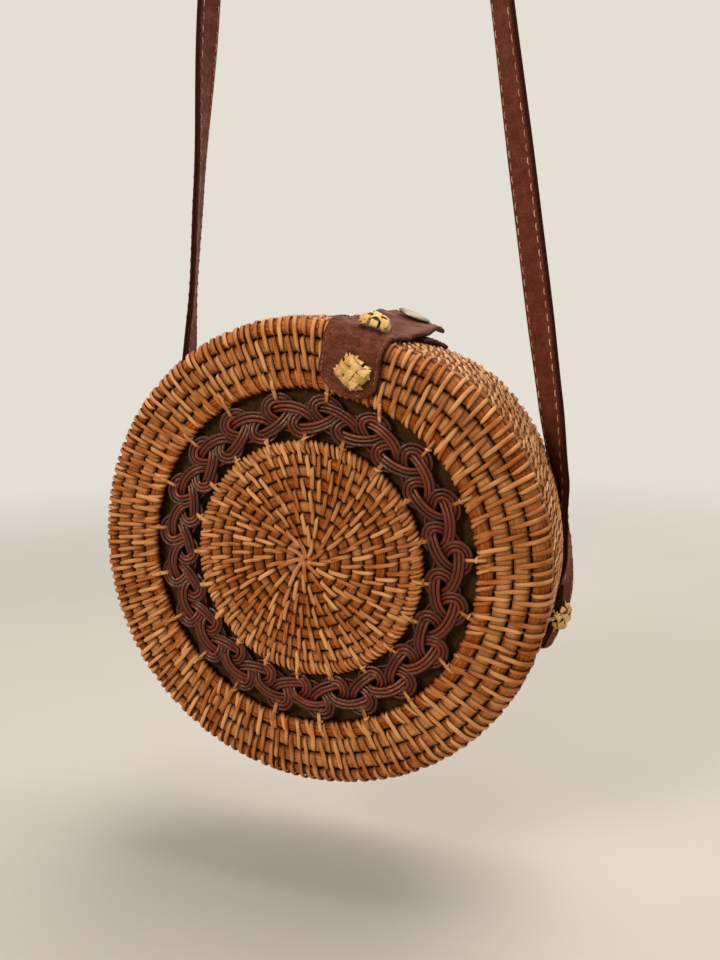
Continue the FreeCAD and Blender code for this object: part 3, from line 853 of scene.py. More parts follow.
# The fourth colour of each finish is its gap colour: painted shade between coils, in the grooves between
# cords and under crossing strips; for the leathers, the cut edge's own colour.
COIL = StrandFinish("rattan_coil", paint(124, 48, 6), paint(180, 102, 46), paint(218, 150, 92),
                    paint(56, 10, 0), stretch=0.09, fineness=2.2, relief=0.3, gloss_rough=0.42,
                    worn_rough=0.66)
STITCH = StrandFinish("rattan_stitch", paint(130, 56, 10), paint(180, 104, 48), paint(222, 158, 102),
                      paint(66, 16, 0), stretch=0.1, fineness=2.8, relief=0.1, gloss_rough=0.32)
WALL_COIL = StrandFinish("wall_coil", paint(122, 62, 26), paint(172, 104, 56), paint(200, 136, 84),
                         paint(64, 22, 4), stretch=0.09, fineness=2.2, relief=0.25, gloss_rough=0.46,
                         worn_rough=0.7)
WALL_STITCH = StrandFinish("wall_stitch", paint(146, 84, 42), paint(196, 130, 78), paint(230, 176, 124),
                           paint(80, 34, 10), stretch=0.1, fineness=2.8, relief=0.1, gloss_rough=0.4)
TIE = StrandFinish("pale_tie", paint(134, 70, 24), paint(188, 118, 58), paint(226, 168, 112),
                   paint(60, 22, 4))
KNOT = StrandFinish("pale_knot", paint(190, 134, 68), paint(226, 178, 108), paint(246, 210, 146),
                    paint(64, 26, 4), stretch=0.12, fineness=1.6, relief=0.12, gloss_rough=0.4)
CORD = StrandFinish("plaited_cord", paint(42, 6, 1), paint(76, 20, 6), paint(108, 36, 16), paint(12, 1, 0),
                    stretch=0.05, fineness=2.2, relief=0.1, gloss_rough=0.24, worn_rough=0.34, specular=0.5)
THREAD = StrandFinish("sewing_thread", paint(158, 112, 78), paint(198, 154, 118), paint(222, 188, 154),
                      paint(110, 70, 44), stretch=1.2, fineness=5.0, relief=0.08, gloss_rough=0.6,
                      worn_rough=0.8, specular=0.15)
FLAP_THREAD = StrandFinish("flap_thread", paint(98, 56, 34), paint(134, 86, 56), paint(168, 120, 84),
                           paint(70, 34, 20), stretch=1.2, fineness=5.0, relief=0.08, gloss_rough=0.6,
                           worn_rough=0.8, specular=0.15)
FLAP_LEATHER = LeatherFinish("flap_leather", paint(72, 28, 12), paint(128, 66, 42), paint(178, 110, 82),
                             paint(74, 34, 20), pebbles=1.5, creases=0.9, relief=0.26)
STRAP_LEATHER = LeatherFinish("strap_leather", paint(88, 36, 22), paint(120, 58, 40), paint(146, 82, 62),
                              paint(46, 15, 7), pebbles=1.3, creases=0.5, relief=0.2)
CLOTH = ClothFinish("lining_cloth", paint(38, 18, 6), paint(66, 40, 17), paint(86, 60, 30))
METAL = MetalFinish("snap_metal_plated", paint(140, 126, 108), paint(112, 92, 68))


class FinishBook:
    """Builds each finish's material once and hands it out."""

    def __init__(self) -> None:
        """Build the shared node groups."""
        self.groups = NodeGroups(fibre_group(), tone_group(), hide_group(), cloth_group())
        self.made: dict[str, bpy.types.Material] = {}

    def get(self, finish: Finish) -> bpy.types.Material:
        """The material of a finish."""
        if finish.name not in self.made:
            self.made[finish.name] = finish.material(self.groups)
        return self.made[finish.name]


@dataclass(frozen=True)
class Workshop:
    """What every sub-assembly works with: the bag's frame and the finishes."""

    bag: BagFrame
    book: FinishBook

    def make(self, draft: Draft, name: str, *finishes: Finish,
             place: Placer | None = None) -> bpy.types.Object:
        """Make a piece from its mesh, drawn in the bag's frame unless another placer is given."""
        return draft.build(name, [self.book.get(finish) for finish in finishes], place or self.bag.front)


@dataclass(frozen=True)
class TurnedOutline:
    """The outline that one half is turned from: a flat face, a round rim and a straight wall.

    A place on it is a run outwards from its inner edge, a height above it and an angle round the bag's axis.
    """

    inner_radius: float
    flat_end: float = 92.0
    rim_round: float = 8.0

    def bend(self, run: Array) -> Array:
        """How far the outline has turned from the face towards the wall, as an angle."""
        return np.clip((self.inner_radius + run - self.flat_end) / self.rim_round, 0.0, QUARTER_TURN)

    def point(self, run: Array, height: Array, angle: Array) -> Array:
        """Points of the bag's frame.

        Args:
            run: Way along the outline from its inner edge.
            height: Height above the outline.
            angle: Angle round the bag's axis.

        Returns:
            The points, in millimetres.
        """
        radius = self.inner_radius + run
        bend = self.bend(run)
        below = np.maximum(radius - self.flat_end - self.rim_round * QUARTER_TURN, 0.0)
        reach = np.minimum(radius, self.flat_end) + (self.rim_round + height) * np.sin(bend)
        depth = self.rim_round - (self.rim_round + height) * np.cos(bend) + below
        return joined(reach * np.cos(angle), depth, reach * np.sin(angle))

    def directions(self, run: Array, angle: Array) -> tuple[Array, Array]:
        """The directions along the outline and out of it.

        Args:
            run: Way along the outline from its inner edge.
            angle: Angle round the bag's axis.

        Returns:
            Unit vectors along and out.
        """
        bend = self.bend(run)
        along = joined(np.cos(bend) * np.cos(angle), np.sin(bend), np.cos(bend) * np.sin(angle))
        return along, joined(np.sin(bend) * np.cos(angle), -np.cos(bend), np.sin(bend) * np.sin(angle))


class Edge(Enum):
    """Which edge of a coil a wrap goes round."""

    INNER = -1
    OUTER = 1


@dataclass
class CoilWeave:
    """Coils of rattan bound to each other by stitches that reach over two coils."""

    outline: TurnedOutline
    draft: Draft
    random: np.random.Generator
    coil_thickness: float = 3.9
    coil_top: float = -0.88
    coil_sides: int = 12
    coil_step: float = 1.5
    least_steps: int = 40
    coil_fill: float = 0.475
    coil_lobes: float = 0.03
    coil_swell: float = 0.02
    coil_wave: float = 0.08
    stitch_half_width: float = 0.96
    stitch_half_height: float = 0.5
    stitch_height: float = -0.38
    stitch_steps: int = 11
    stitch_sink: float = 2.3
    sag_reach: float = 1.6
    wrap_steps: int = 12
    wrap_lift: float = 0.42
    # Brightness that a coil keeps right next to a crossing stitch, as painted shadow.
    contact_shadow: float = 0.45

    def coil(self, start: float, end: float, crossings: Array) -> None:
        """Lay one coil between two runs of the outline, with painted shade on its lower sides and painted
        shadow next to the stitches that cross it.

        Args:
            start: Run at the coil's inner side.
            end: Run at its outer side.
            crossings: Angles where stitches cross it.
        """
        middle = (start + end) / 2
        radius = self.outline.inner_radius + middle
        steps = max(self.least_steps, int(FULL_TURN * radius / self.coil_step))
        angle = np.linspace(FULL_TURN, 0.0, steps + 1)[:, None]
        turn = np.arange(self.coil_sides) * FULL_TURN / self.coil_sides
        section = split_section(self.coil_sides)
        lobes = 1 + self.coil_lobes * np.cos(5 * turn)
        phases = self.random.uniform(0, 6, 3)
        swell = 1 + self.coil_swell * (np.sin(5 * angle + phases[0]) + np.sin(11 * angle + phases[1]))
        half = self.coil_thickness / 2
        run = middle + section[:, 0] * lobes * swell * (end - start) * self.coil_fill
        height = self.coil_top - half + section[:, 1] * lobes * half
        height = height + self.coil_wave * np.sin(7 * angle + phases[2])
        grain = joined(angle * radius, turn * half, self.random.uniform(0, 0.8))
        # Painted shadow: the coil darkens next to each crossing stitch, and its lower sides darken as
        # painted shade in the gaps between coils.
        away = np.abs(np.angle(np.exp(1j * (angle - crossings)))).min(axis=1, keepdims=True) * radius
        painted_contact_shadow = self.contact_shadow + (1 - self.contact_shadow) * ease((away - 0.6) / 0.8)
        shade = ease((section[:, 1] - 0.1) / 0.75) * painted_contact_shadow
        self.draft.add(self.outline.point(run, height, angle)[None], grain, shade)

    def lay(self, run: Array, height: Array, angle: Array, widths: Array | float) -> None:
        """Lay strands of split cane along paths on the outline.

        Args:
            run: Run along the outline, by strand and step.
            height: Height above the outline.
            angle: Angle round the bag's axis.
            widths: Half widths.
        """
        along, out = self.outline.directions(run, angle)
        up = unit(out * np.gradient(run, axis=1)[..., None] - along * np.gradient(height, axis=1)[..., None])
        lots = self.random.uniform(0.3, 0.85, len(run))
        # Painted shade: the cane darkens where it sinks into the gaps between coils.
        shade = ease((height - self.stitch_height + 1.7) / 1.5)
        path = self.outline.point(run, height, angle)
        self.draft.strands(path, up, CANE_SECTION, widths, self.stitch_half_height, lots, shade, 1)

    def stitch_row(self, start: float, middle: float, end: float, angles: Array, lean: Array,
                   dip: float = 0.24) -> None:
        """Sew one row of stitches that rise from one gap, pass over two coils and sink into another gap.

        Args:
            start: Run where the stitches rise.
            middle: Run at the gap between the two coils.
            end: Run where they sink.
            angles: Angle of each stitch's inner end.
            lean: How far each one's outer end lies from its inner end, as an angle.
            dip: How deep each one sags into the gap between the two coils.
        """
        each = (len(angles), 1)
        share = np.linspace(0.0, 1.0, self.stitch_steps)
        away = np.abs(2 * share - 1)
        way = start + (end - start) * share
        sag = dip * np.exp(-((way - middle) / self.sag_reach) ** 2)
        sink = self.stitch_sink * (np.maximum(away - 0.74, 0.0) / 0.26) ** 2
        height = self.stitch_height + self.random.normal(0.0, 0.07, each) - sag - sink
        run = way + self.random.normal(0.0, 0.18, each)
        radius = self.outline.inner_radius + (start + end) / 2
        bow = self.random.normal(0.0, 0.16, each) / radius * np.sin(math.pi * share)
        ends = 0.62 + 0.38 * ease((1 - away) / 0.42)
        widths = self.stitch_half_width * self.random.normal(1.0, 0.07, each) * ends
        self.lay(run, height, angles[:, None] + lean[:, None] * share + bow, widths)

    def edge_wraps(self, start: float, end: float, edge: Edge, angles: Array, lean: float,
                   half_width: float = 0.85) -> None:
        """Wrap the coil at a free edge with short slanted turns of cane.

        Args:
            start: Run at the coil's inner side.
            end: Run at its outer side.
            edge: Which side is free.
            angles: Angle of each wrap at the free edge.
            lean: Angle from the free edge to the other end.
            half_width: Half of a wrap's width.
        """
        each = (len(angles), 1)
        turn = np.linspace(-0.55, math.pi * 0.94, self.wrap_steps)[::-edge.value]
        away = edge.value * ((end - start) / 2 + 0.2) * np.sign(np.cos(turn)) * np.abs(np.cos(turn)) ** 0.75
        half = self.coil_thickness / 2
        rise = np.sign(np.sin(turn)) * np.abs(np.sin(turn)) ** 0.8
        height = self.coil_top - half + (half + self.wrap_lift) * rise
        run = (start + end) / 2 + away + self.random.normal(0.0, 0.08, each)
        uneven = self.random.normal(0.0, 0.05, each) * abs(lean)
        angle = angles[:, None] + lean * ease((turn - 0.1) / 2.6) + uneven
        height = height + self.random.normal(0.0, 0.05, each)
        self.lay(run, height, angle, half_width * self.random.normal(1.0, 0.08, each))


def spaced(count: int, start: float, random: np.random.Generator, uneven: float) -> Array:
    """Angles evenly spaced round the axis, each off its place by a share of their spacing."""
    return start + FULL_TURN / count * (np.arange(count) + random.normal(0.0, uneven, count))


StitchRow = tuple[Array, Array]


def row_crossings(rows: Sequence[StitchRow], coil: int) -> Array:
    """Where the rows' stitches, each over its row's own coil and the next, cross the middle of a coil."""
    reached = [(row, share) for row, share in ((coil, 0.25), (coil - 1, 0.75)) if 0 <= row < len(rows)]
    return np.concatenate([rows[row][0] + share * rows[row][1] for row, share in reached])


def grown(angles: Array, count: int) -> Array:
    """Angles between those of the row before, with more of them in its widest gaps.

    Args:
        angles: Angles of the row before.
        count: How many are wanted, at least as many as before.

    Returns:
        The new angles, evened out a little.
    """
    turned = np.sort(angles)
    gaps = np.diff(np.append(turned, turned[0] + FULL_TURN))
    shares = np.ones(len(turned), dtype=int)
    for _ in range(count - len(turned)):
        shares[np.argmax(gaps / shares)] += 1
    fresh = np.concatenate([start + gap * (np.arange(share) + 0.5) / share
                            for start, gap, share in zip(turned, gaps, shares)])
    for _ in range(8):
        closed = np.concatenate([fresh[-1:] - FULL_TURN, fresh, fresh[:1] + FULL_TURN])
        fresh = fresh + 0.2 * ((closed[:-2] + closed[2:]) / 2 - fresh)
    return fresh


@dataclass(frozen=True)
class Band:
    """One band of the plait: its radius where it runs on and at its turns, and its shifts in loops."""

    low: float
    high: float
    shift: float
    turn_shift: float


@dataclass
class Plait:
    """The plaited ring: two bands of three cords that run round in loops through each other.

    The bands' loops point outwards and inwards. Places in one loop are shares of its length, with its turn
    at one half.
    """

    loops: int = 20
    first_loop: float = math.radians(94.5)
    uneven_turn: float = math.radians(0.9)
    uneven_reach: float = math.radians(4.0)
    uneven_start: float = math.radians(30.0)
    outer: Band = Band(54.2, 67.6, 0.0, 0.02)
    inner: Band = Band(64.0, 52.3, 0.55, 0.03)
    swing: float = 0.475
    cords: int = 3
    cord_radius: float = 0.8
    cord_pitch: float = 1.6
    cord_sides: int = 10
    wander: float = 0.08
    lift: float = 0.12
    depth: float = 2.1
    crossing_height: float = 0.9
    steps: int = 44
    over_places: tuple[float, ...] = (-0.068, 0.07, 0.138, 0.2825, 0.5, 0.7, 0.862, 0.932, 1.07)
    over_levels: tuple[float, ...] = (-1.0, 1.0, 1.0, -1.0, 0.2, 1.0, -1.0, -1.0, 1.0)

    def loop_angle(self, place: Array) -> Array:
        """The angle round the axis at a place along the plait, a little uneven as plaiting by hand is."""
        even = self.first_loop - FULL_TURN / self.loops * place
        return even + self.uneven_turn - self.uneven_reach * np.cos(even + self.uneven_start)

    def middle_line(self, band: Band) -> tuple[Array, Array]:
        """The middle line of one band.

        Args:
            band: The band.

        Returns:
            Points along the closed line and the place of each, in loops.
        """
        place = np.arange(self.loops * self.steps + 1) / self.steps
        share = place % 1.0
        angle = self.loop_angle(place - 0.5 + band.shift + self.swing * np.sin(FULL_TURN * share))
        radius = (band.low + band.high) / 2 - (band.high - band.low) / 2 * np.cos(FULL_TURN * share)
        level = eased_between(share, self.over_places, self.over_levels) * self.crossing_height
        return joined(radius * np.cos(angle), self.depth - level, radius * np.sin(angle)), place

    def build(self, random: np.random.Generator) -> Draft:
        """Lay the cords of both bands.

        Args:
            random: Source of the cords' unevenness.

        Returns:
            The mesh of the plait.
        """
        draft = Draft()
        section = round_section(self.cord_sides)
        for band in (self.outer, self.inner):
            middle, place = self.middle_line(band)
            looped = np.concatenate([middle[-2:-1], middle, middle[1:2]])
            side = unit(np.cross(-Y_AXIS, unit(looped[2:] - looped[:-2])))
            for number in range(self.cords):
                shift_out = (number - (self.cords - 1) / 2) * self.cord_pitch
                phase = random.uniform(0, 6, 2)
                wander = self.wander * np.sin(FULL_TURN * place * 3 / self.loops + phase[0])
                lift = self.lift * np.sin(FULL_TURN * place * 7 / self.loops + phase[1])
                path = middle + side * (shift_out + wander)[:, None] - Y_AXIS * lift[:, None]
                # Painted shade: the cords' sides keep only 0.05 of their brightness, standing in for the
                # dark grooves between cords.
                draft.strands(path, -Y_AXIS, section, self.cord_radius, self.cord_radius,
                              random.uniform(0.1, 0.9, 1), sides=0.05)
        return draft

    def turn_angles(self, band: Band) -> Array:
        """Angle of the turn of each of a band's loops."""
        return self.loop_angle(np.arange(self.loops) + band.shift + band.turn_shift)


@dataclass(frozen=True)
class TieRow:
    """A row of ties: the way of each strip by radius and height, and the short bar wound across it."""

    side: str
    radii: tuple[float, ...]
    heights: tuple[float, ...]
    bar_radius: float
    bar_half_length: float
    bar_top: float


OUTER_TIES = TieRow("outer", (65.6, 66.2, 67.4, 69.0, 70.8, 72.6, 74.4, 75.2),
                    (-3.8, -2.0, -0.75, -0.6, 0.05, 0.4, 0.1, -2.0), 70.7, 0.95, 0.2)
INNER_TIES = TieRow("inner", (45.4, 46.2, 47.6, 49.2, 50.4, 51.6, 52.7, 53.1),
                    (-2.0, 0.0, 0.35, 0.15, -0.25, -0.6, -1.5, -3.4), 50.0, 1.2, 0.25)


@dataclass
class WovenHalf:
    """One half of the bag: woven ring, wall and disc, plaited ring, ties and lining."""

    half: Half
    shop: Workshop
    ring_inner: float = 71.0
    seam: float = 34.7
    ring_coils: int = 3
    wall_coils: int = 6
    stitches: int = 82
    wall_stitches: int = 100
    face_slant: float = 0.27
    wall_slant: float = 0.5
    row_shift: float = 0.58
    wrap_shift: float = 0.42
    second_wraps: float = 0.6
    loosening: float = 0.12
    dip: float = 0.24
    rim_dip: float = 0.8
    disc_radius: float = 49.4
    disc_hole: float = 0.15
    disc_coils: int = 10
    disc_pitch: float = 6.4
    disc_starts: int = 9
    disc_wrap_pitch: float = 2.4
    tie_half_width: float = 0.8
    bar_drop: float = 1.6
    lining_floor: float = 5.25
    lining_radius: float = 94.4
    lining_corner: float = 3.0
    lining_end: float = 33.4
    lining_thickness: float = 0.6
    lining_cut: tuple[float, float] = (0.6, 0.22)
    lining_area: float = 0.0443

    def __post_init__(self) -> None:
        """Work out the outline's length and start the half's own random draws."""
        self.random = np.random.default_rng(11 if self.half is Half.FRONT else 23)
        self.ring = TurnedOutline(self.ring_inner)
        self.flat = self.ring.flat_end - self.ring_inner
        self.length = self.flat + self.ring.rim_round * (QUARTER_TURN - 1) + self.seam
        self.plait = Plait()

    def build(self) -> None:
        """Build every piece of the half."""
        self.ring_and_wall()
        self.disc()
        self.plaited_ring()
        self.ties(OUTER_TIES, self.plait.turn_angles(self.plait.outer))
        self.ties(INNER_TIES, self.plait.turn_angles(self.plait.inner))
        self.lining()

    def _finish(self, draft: Draft, piece: str, slot: Slot, node: str,
                *finishes: Finish) -> bpy.types.Object:
        """Make one piece of this half and settle it.

        Args:
            draft: The piece's mesh.
            piece: Its name without the half's name.
            slot: The record's slot.
            node: The node that it stands for, without the half's name.
            finishes: Its finishes.

        Returns:
            The piece.
        """
        name = self.half.value
        made = self.shop.make(draft, f"{name}_{piece}", *finishes, place=self.shop.bag.placer(self.half))
        settle(made, slot, f"{name}_{node}", body=self.half.body)
        return made

    def _spaced(self, count: int, start: float, uneven: float) -> Array:
        """Angles round the ring, a little wider apart at the right than at the left."""
        angles = spaced(count, start, self.random, uneven)
        return angles + self.loosening * np.sin(angles)

    def ring_and_wall(self) -> None:
        """Weave the face ring, the broad rim and the finer side wall on one outline."""
        rim_end = self.flat + self.ring.rim_round * QUARTER_TURN
        bounds = np.concatenate([np.linspace(0.0, self.flat, self.ring_coils + 1),
                                 np.linspace(rim_end, self.length, self.wall_coils + 1)])
        face = CoilWeave(self.ring, Draft(), self.random, stitch_steps=13)
        wall = CoilWeave(self.ring, Draft(), self.random, coil_top=-0.75, coil_step=2.2,
                         stitch_half_width=0.8, stitch_half_height=0.42, stitch_height=-0.42)
        weaves = [face if coil <= self.ring_coils else wall for coil in range(len(bounds) - 1)]
        start = self.random.uniform(0, 1)
        rows: list[StitchRow] = []
        for coil, weave in enumerate(weaves[:-1]):
            on_face = weave is face
            count = self.stitches if on_face else self.wall_stitches
            slant = self.face_slant if on_face else self.wall_slant
            step = FULL_TURN / count
            angles = self._spaced(count, start + coil * self.row_shift * step, 0.05)
            rows.append((angles, step * self.random.normal(slant, 0.07, count)))
        for coil, weave in enumerate(weaves):
            weave.coil(bounds[coil], bounds[coil + 1], row_crossings(rows, coil))
        for coil, row in enumerate(rows):
            dip = self.rim_dip if coil == self.ring_coils else self.dip
            weaves[coil].stitch_row(bounds[coil] + 0.2, bounds[coil + 1], bounds[coil + 2] - 0.2, *row, dip)
        step = FULL_TURN / self.stitches
        inner = self._spaced(self.stitches, start - self.wrap_shift * step, 0.07)
        face.edge_wraps(0.0, bounds[1], Edge.INNER, inner, 0.5 * step)
        kept = self.random.uniform(0, 1, self.stitches) < self.second_wraps
        face.edge_wraps(0.0, bounds[1], Edge.INNER, inner[kept] + self.wrap_shift * step, 0.35 * step, 0.7)
        seam = self._spaced(2 * self.stitches, start, 0.07)
        wall.edge_wraps(bounds[-2], self.length - 0.45, Edge.OUTER, seam, -0.5 * step)
        self._finish(face.draft, "ring_weave", Slot.RATTAN, "face_ring", COIL, STITCH)
        self._finish(wall.draft, "wall_weave", Slot.RATTAN, "side_wall", WALL_COIL, WALL_STITCH)

    def disc(self) -> None:
        """Weave the disc from its middle outwards."""
        weave = CoilWeave(TurnedOutline(0.0), Draft(), self.random, stitch_half_width=0.9, contact_shadow=0.6)
        pitch = self.disc_radius / self.disc_coils
        rows: list[StitchRow] = []
        middles = spaced(self.disc_starts, 0.3, self.random, 0.06)
        for number in range(1, self.disc_coils):
            count = max(self.disc_starts, round(FULL_TURN * number * pitch / self.disc_pitch))
            middles = grown(middles, count) + self.random.normal(0.0, 0.04, count) * FULL_TURN / count
            lean = self.random.normal(0.26 + 0.15 / number, 0.06, count) / number
            lean = np.minimum(lean, FULL_TURN / count)
            rows.append((middles - lean / 2, lean))
        starts = np.maximum(np.arange(self.disc_coils) * pitch, self.disc_hole)
        for coil, start in enumerate(starts):
            weave.coil(start, (coil + 1) * pitch, row_crossings(rows, coil))
        for coil, row in enumerate(rows):
            weave.stitch_row(starts[coil] + 0.25, (coil + 1) * pitch, (coil + 2) * pitch - 0.2, *row)
        wraps = round(FULL_TURN * self.disc_radius / self.disc_wrap_pitch)
        angles = spaced(wraps, 0.0, self.random, 0.12)
        weave.edge_wraps(self.disc_radius - pitch, self.disc_radius, Edge.OUTER, angles, -0.05, 0.72)
        self._finish(weave.draft, "disc_weave", Slot.RATTAN, "center_disc", COIL, STITCH)

    def plaited_ring(self) -> None:
        """Plait the dark cords."""
        self._finish(self.plait.build(self.random), "plait_cords", Slot.DARK_CORD, "braid", CORD)

    def ties(self, row: TieRow, angles: Array) -> None:
        """Tie each loop of one of the plait's bands to the ring or the disc.

        Args:
            row: The row of ties.
            angles: Angle of each tie.
        """
        weave = CoilWeave(TurnedOutline(0.0), Draft(), self.random, stitch_half_height=0.38)
        each = (len(angles), 1)
        share = np.linspace(0.0, 1.0, 14)
        knots = np.linspace(0.0, 1.0, len(row.radii))
        run = np.interp(share, knots, row.radii) + self.random.normal(0.0, 0.15, each)
        height = eased_between(share, knots, row.heights) + self.random.normal(0.0, 0.06, each)
        slant = self.random.normal(0.0, 0.02, each) * (share - 0.5)
        weave.lay(run, height, angles[:, None] + slant, self.random.normal(self.tie_half_width, 0.09, each))
        self._bars(weave, row, angles)
        self._finish(weave.draft, f"{row.side}_tie_strips", Slot.PALE_RATTAN, f"{row.side}_ties", TIE, TIE)

    def _bars(self, weave: CoilWeave, row: TieRow, angles: Array) -> None:
        """Lay a short strip across each tie, as where a strip is wound round its own start.

        Args:
            weave: The weave that the ties belong to.
            row: The row of ties.
            angles: Angle of each tie.
        """
        each = (len(angles), 1)
        share = np.linspace(-1.0, 1.0, 9)
        swing = self.random.normal(0.0, 0.6, each)
        run = row.bar_radius + swing * share + self.random.normal(0.0, 0.15, each)
        height = row.bar_top - self.bar_drop * np.abs(share) ** 3
        reach = row.bar_half_length / row.bar_radius * self.random.normal(1.0, 0.12, each)
        path = weave.outline.point(run, height, angles[:, None] - reach * share)
        lots = self.random.uniform(0.3, 1.0, len(angles))
        weave.draft.strands(path, -Y_AXIS, CANE_SECTION, 0.52, 0.42, lots, kind=1)

    def lining(self) -> None:
        """Sew the cloth cup that lines the half, with small puckers."""
        flat, wall = 34, 14
        corner, floor, rim = self.lining_corner, self.lining_floor, self.lining_radius
        turn = np.linspace(0.0, QUARTER_TURN, 6)[1:]
        radius = np.concatenate([np.linspace(0.2, rim - corner, flat), rim - corner + corner * np.sin(turn),
                                 np.full(wall, rim)])
        depth = np.concatenate([np.full(flat, floor), floor + corner - corner * np.cos(turn),
                                np.linspace(floor + corner + 1.5, self.lining_end, wall)])
        inward = np.concatenate([np.zeros(flat), np.sin(turn), np.ones(wall)])
        upward = np.concatenate([np.ones(flat), np.cos(turn), np.zeros(wall)])
        angle = np.linspace(FULL_TURN, 0.0, 145)[:-1, None]
        broad = 0.22 * np.sin(17 * angle) * np.sin(radius / 9.0)
        pucker = np.abs(broad + 0.15 * np.sin(41 * angle) * ease((radius - 40.0) / 50.0))
        sides = []
        for offset in (0.0, self.lining_thickness):
            reach = radius - inward * (offset + 0.4 * pucker)
            sunk = depth + upward * (offset + 0.6 * pucker)
            sides.append(joined(reach * np.cos(angle), sunk, reach * np.sin(angle)))
        grid = np.concatenate([sides[0], sides[1][:, ::-1]], axis=1)
        grain = grid[..., [0, 2, 1]] * np.array([1.0, 1.0, 0.0])
        walled = np.concatenate([radius >= rim, (radius >= rim)[::-1]])
        grain[:, walled, 0] = angle * rim
        grain[:, walled, 1] = grid[:, walled, 1]
        draft = Draft()
        draft.add(grid.swapaxes(0, 1)[None, ::-1], grain.swapaxes(0, 1)[None, ::-1])
        cloth = self._finish(draft, "lining_cloth_cup", Slot.LINING, "lining", CLOTH)


def spun(points: Array, angle: float) -> Array:
    """Points turned about the z axis.

    Args:
        points: The points.
        angle: The turn.

    Returns:
        The turned points.
    """
    x, y, z = np.moveaxis(points, -1, 0)
    cos, sin = math.cos(angle), math.sin(angle)
    return joined(x * cos - y * sin, x * sin + y * cos, z)


@dataclass(frozen=True)
class LocalAxes:
    """A small frame on the bag, with its origin and three directions in the bag's frame."""

    origin: Triple
    across: Array
    along: Array
    out: Array

    def place(self, points: Array) -> Array:
        """Points of the small frame in the bag's frame."""
        return np.array(self.origin) + points @ np.stack([self.across, self.along, self.out])


@dataclass
class RosetteKnot:
    """A button knot of flat cane strips, woven over and under, with folded corners and a shank."""

    name: str
    body: str
    axes: LocalAxes
    size: float
    height: float
    turn: float
    shank: float
    seed: int
    strips: int = 3
    strip_height: float = 1.9
    strip_wave: float = 0.58
    fold_start: float = 0.8
    shank_radius: float = 0.8

    def __post_init__(self) -> None:
        """Start the knot's mesh and its own random draws."""
        self.draft = Draft()
        self.random = np.random.default_rng(self.seed)
        self.half = self.size / 2
        self.pitch = self.size / self.strips

    def build(self, shop: Workshop) -> None:
        """Weave the knot and settle it.

        Args:
            shop: The bag's frame and the finishes.
        """
        for number in range(self.strips):
            for crossing in (0, 1):
                self._strip(number, crossing)
        for corner in range(4):
            self._corner(corner)
        self._shank()
        piece = shop.make(self.draft, f"{self.name}_rosette", KNOT,
                          place=lambda points: shop.bag.front(self.axes.place(points)))
        settle(piece, Slot.PALE_RATTAN, self.name, body=self.body)

    def _strip(self, number: int, crossing: int) -> None:
        """Lay one strip of the weave over the knot's dome and tuck its ends under.

        Args:
            number: Number of the strip.
            crossing: 0 for the strips one way and 1 for those across.
        """
        share = np.linspace(-1.0, 1.0, 25)
        offset = (number - (self.strips - 1) / 2) * self.pitch * 0.98
        slope = self.random.normal(0.0, 0.08)
        way = np.minimum(np.abs(share), self.fold_start) / self.fold_start
        fold = np.clip((np.abs(share) - self.fold_start) / (1 - self.fold_start), 0.0, 1.0)
        length = self.half * 1.04 - 0.06 * abs(offset)
        along = np.sign(share) * (way * length + 0.5 * np.sin(fold * math.pi))
        across = offset + slope * along
        dome = self.height * (1 - 0.42 * (along ** 2 + across ** 2) / self.half ** 2)
        wave = self.strip_wave * np.cos(math.pi * (along / self.pitch + number + crossing))
        level = np.maximum(dome - 0.75 + wave, 0.45) * (1 - fold) + 0.3 * fold
        level = level + self.random.normal(0.0, 0.08)
        path = spun(joined(along, across, level), self.turn + crossing * QUARTER_TURN)
        tilted = unit(np.append(self.random.normal(0.0, 0.08, 2), 1.0))
        tuck = 0.85 * fold[:, None]
        up = unit(tilted * (1 - tuck) + unit(path * (X_AXIS + Y_AXIS)) * tuck)
        width = self.pitch * 0.47 * self.random.normal(1.0, 0.05)
        # Painted shade: each strip darkens where it dips under the crossing strips.
        shade = ease((wave + 0.62) / 0.6) * 0.75 + 0.25
        lots = self.random.uniform(0.2, 1.0, 1)
        self.draft.strands(path, up, FLAT_CANE_SECTION, width, self.strip_height, lots, shade, caps=True)

    def _corner(self, corner: int) -> None:
        """Lay the pointed end that sticks out at one corner of the knot.

        Args:
            corner: Number of the corner.
        """
        share = np.linspace(0.0, 1.0, 11)
        reach = self.half * (0.5 + (0.84 + self.random.normal(0.0, 0.08)) * share)
        sway = self.random.normal(0.0, 0.2) * share * self.pitch
        rise = 0.62 * self.height * (1 - 0.6 * share ** 2) + self.random.normal(0.0, 0.15)
        angle = (corner + 0.5) * QUARTER_TURN + self.random.normal(0.0, 0.16)
        path = spun(joined(reach, sway, rise), self.turn + angle)
        up = unit(np.append(self.random.normal(0.0, 0.12, 2), 1.0))
        widths = self.pitch * 0.5 * (1.0 - 0.88 * share ** 1.2)
        lots = self.random.uniform(0.2, 1.0, 1)
        # Painted shade: each corner tip darkens towards the knot, where it runs out from under the strips.
        shade = 0.35 + 0.65 * ease(share / 0.35)
        self.draft.strands(path, up, FLAT_CANE_SECTION, widths, self.strip_height, lots, shade, caps=True)

    def _shank(self) -> None:
        """Lay the twisted shank that goes through the leather or the wall."""
        turn = np.linspace(0.0, FULL_TURN * 2, 40)
        depth = np.linspace(1.0, -self.shank, 40)
        for phase in (0.0, math.pi):
            out = joined(np.cos(turn + phase), np.sin(turn + phase), 0.0)
            path = self.shank_radius * out + depth[:, None] * Z_AXIS
            # Painted shade: the shank, in the hole under the knot, is darkened to 0.7 towards the gap
            # colour.
            self.draft.strands(path, out, round_section(8), 0.95, 0.8, np.array([0.4]), 0.7, caps=True)


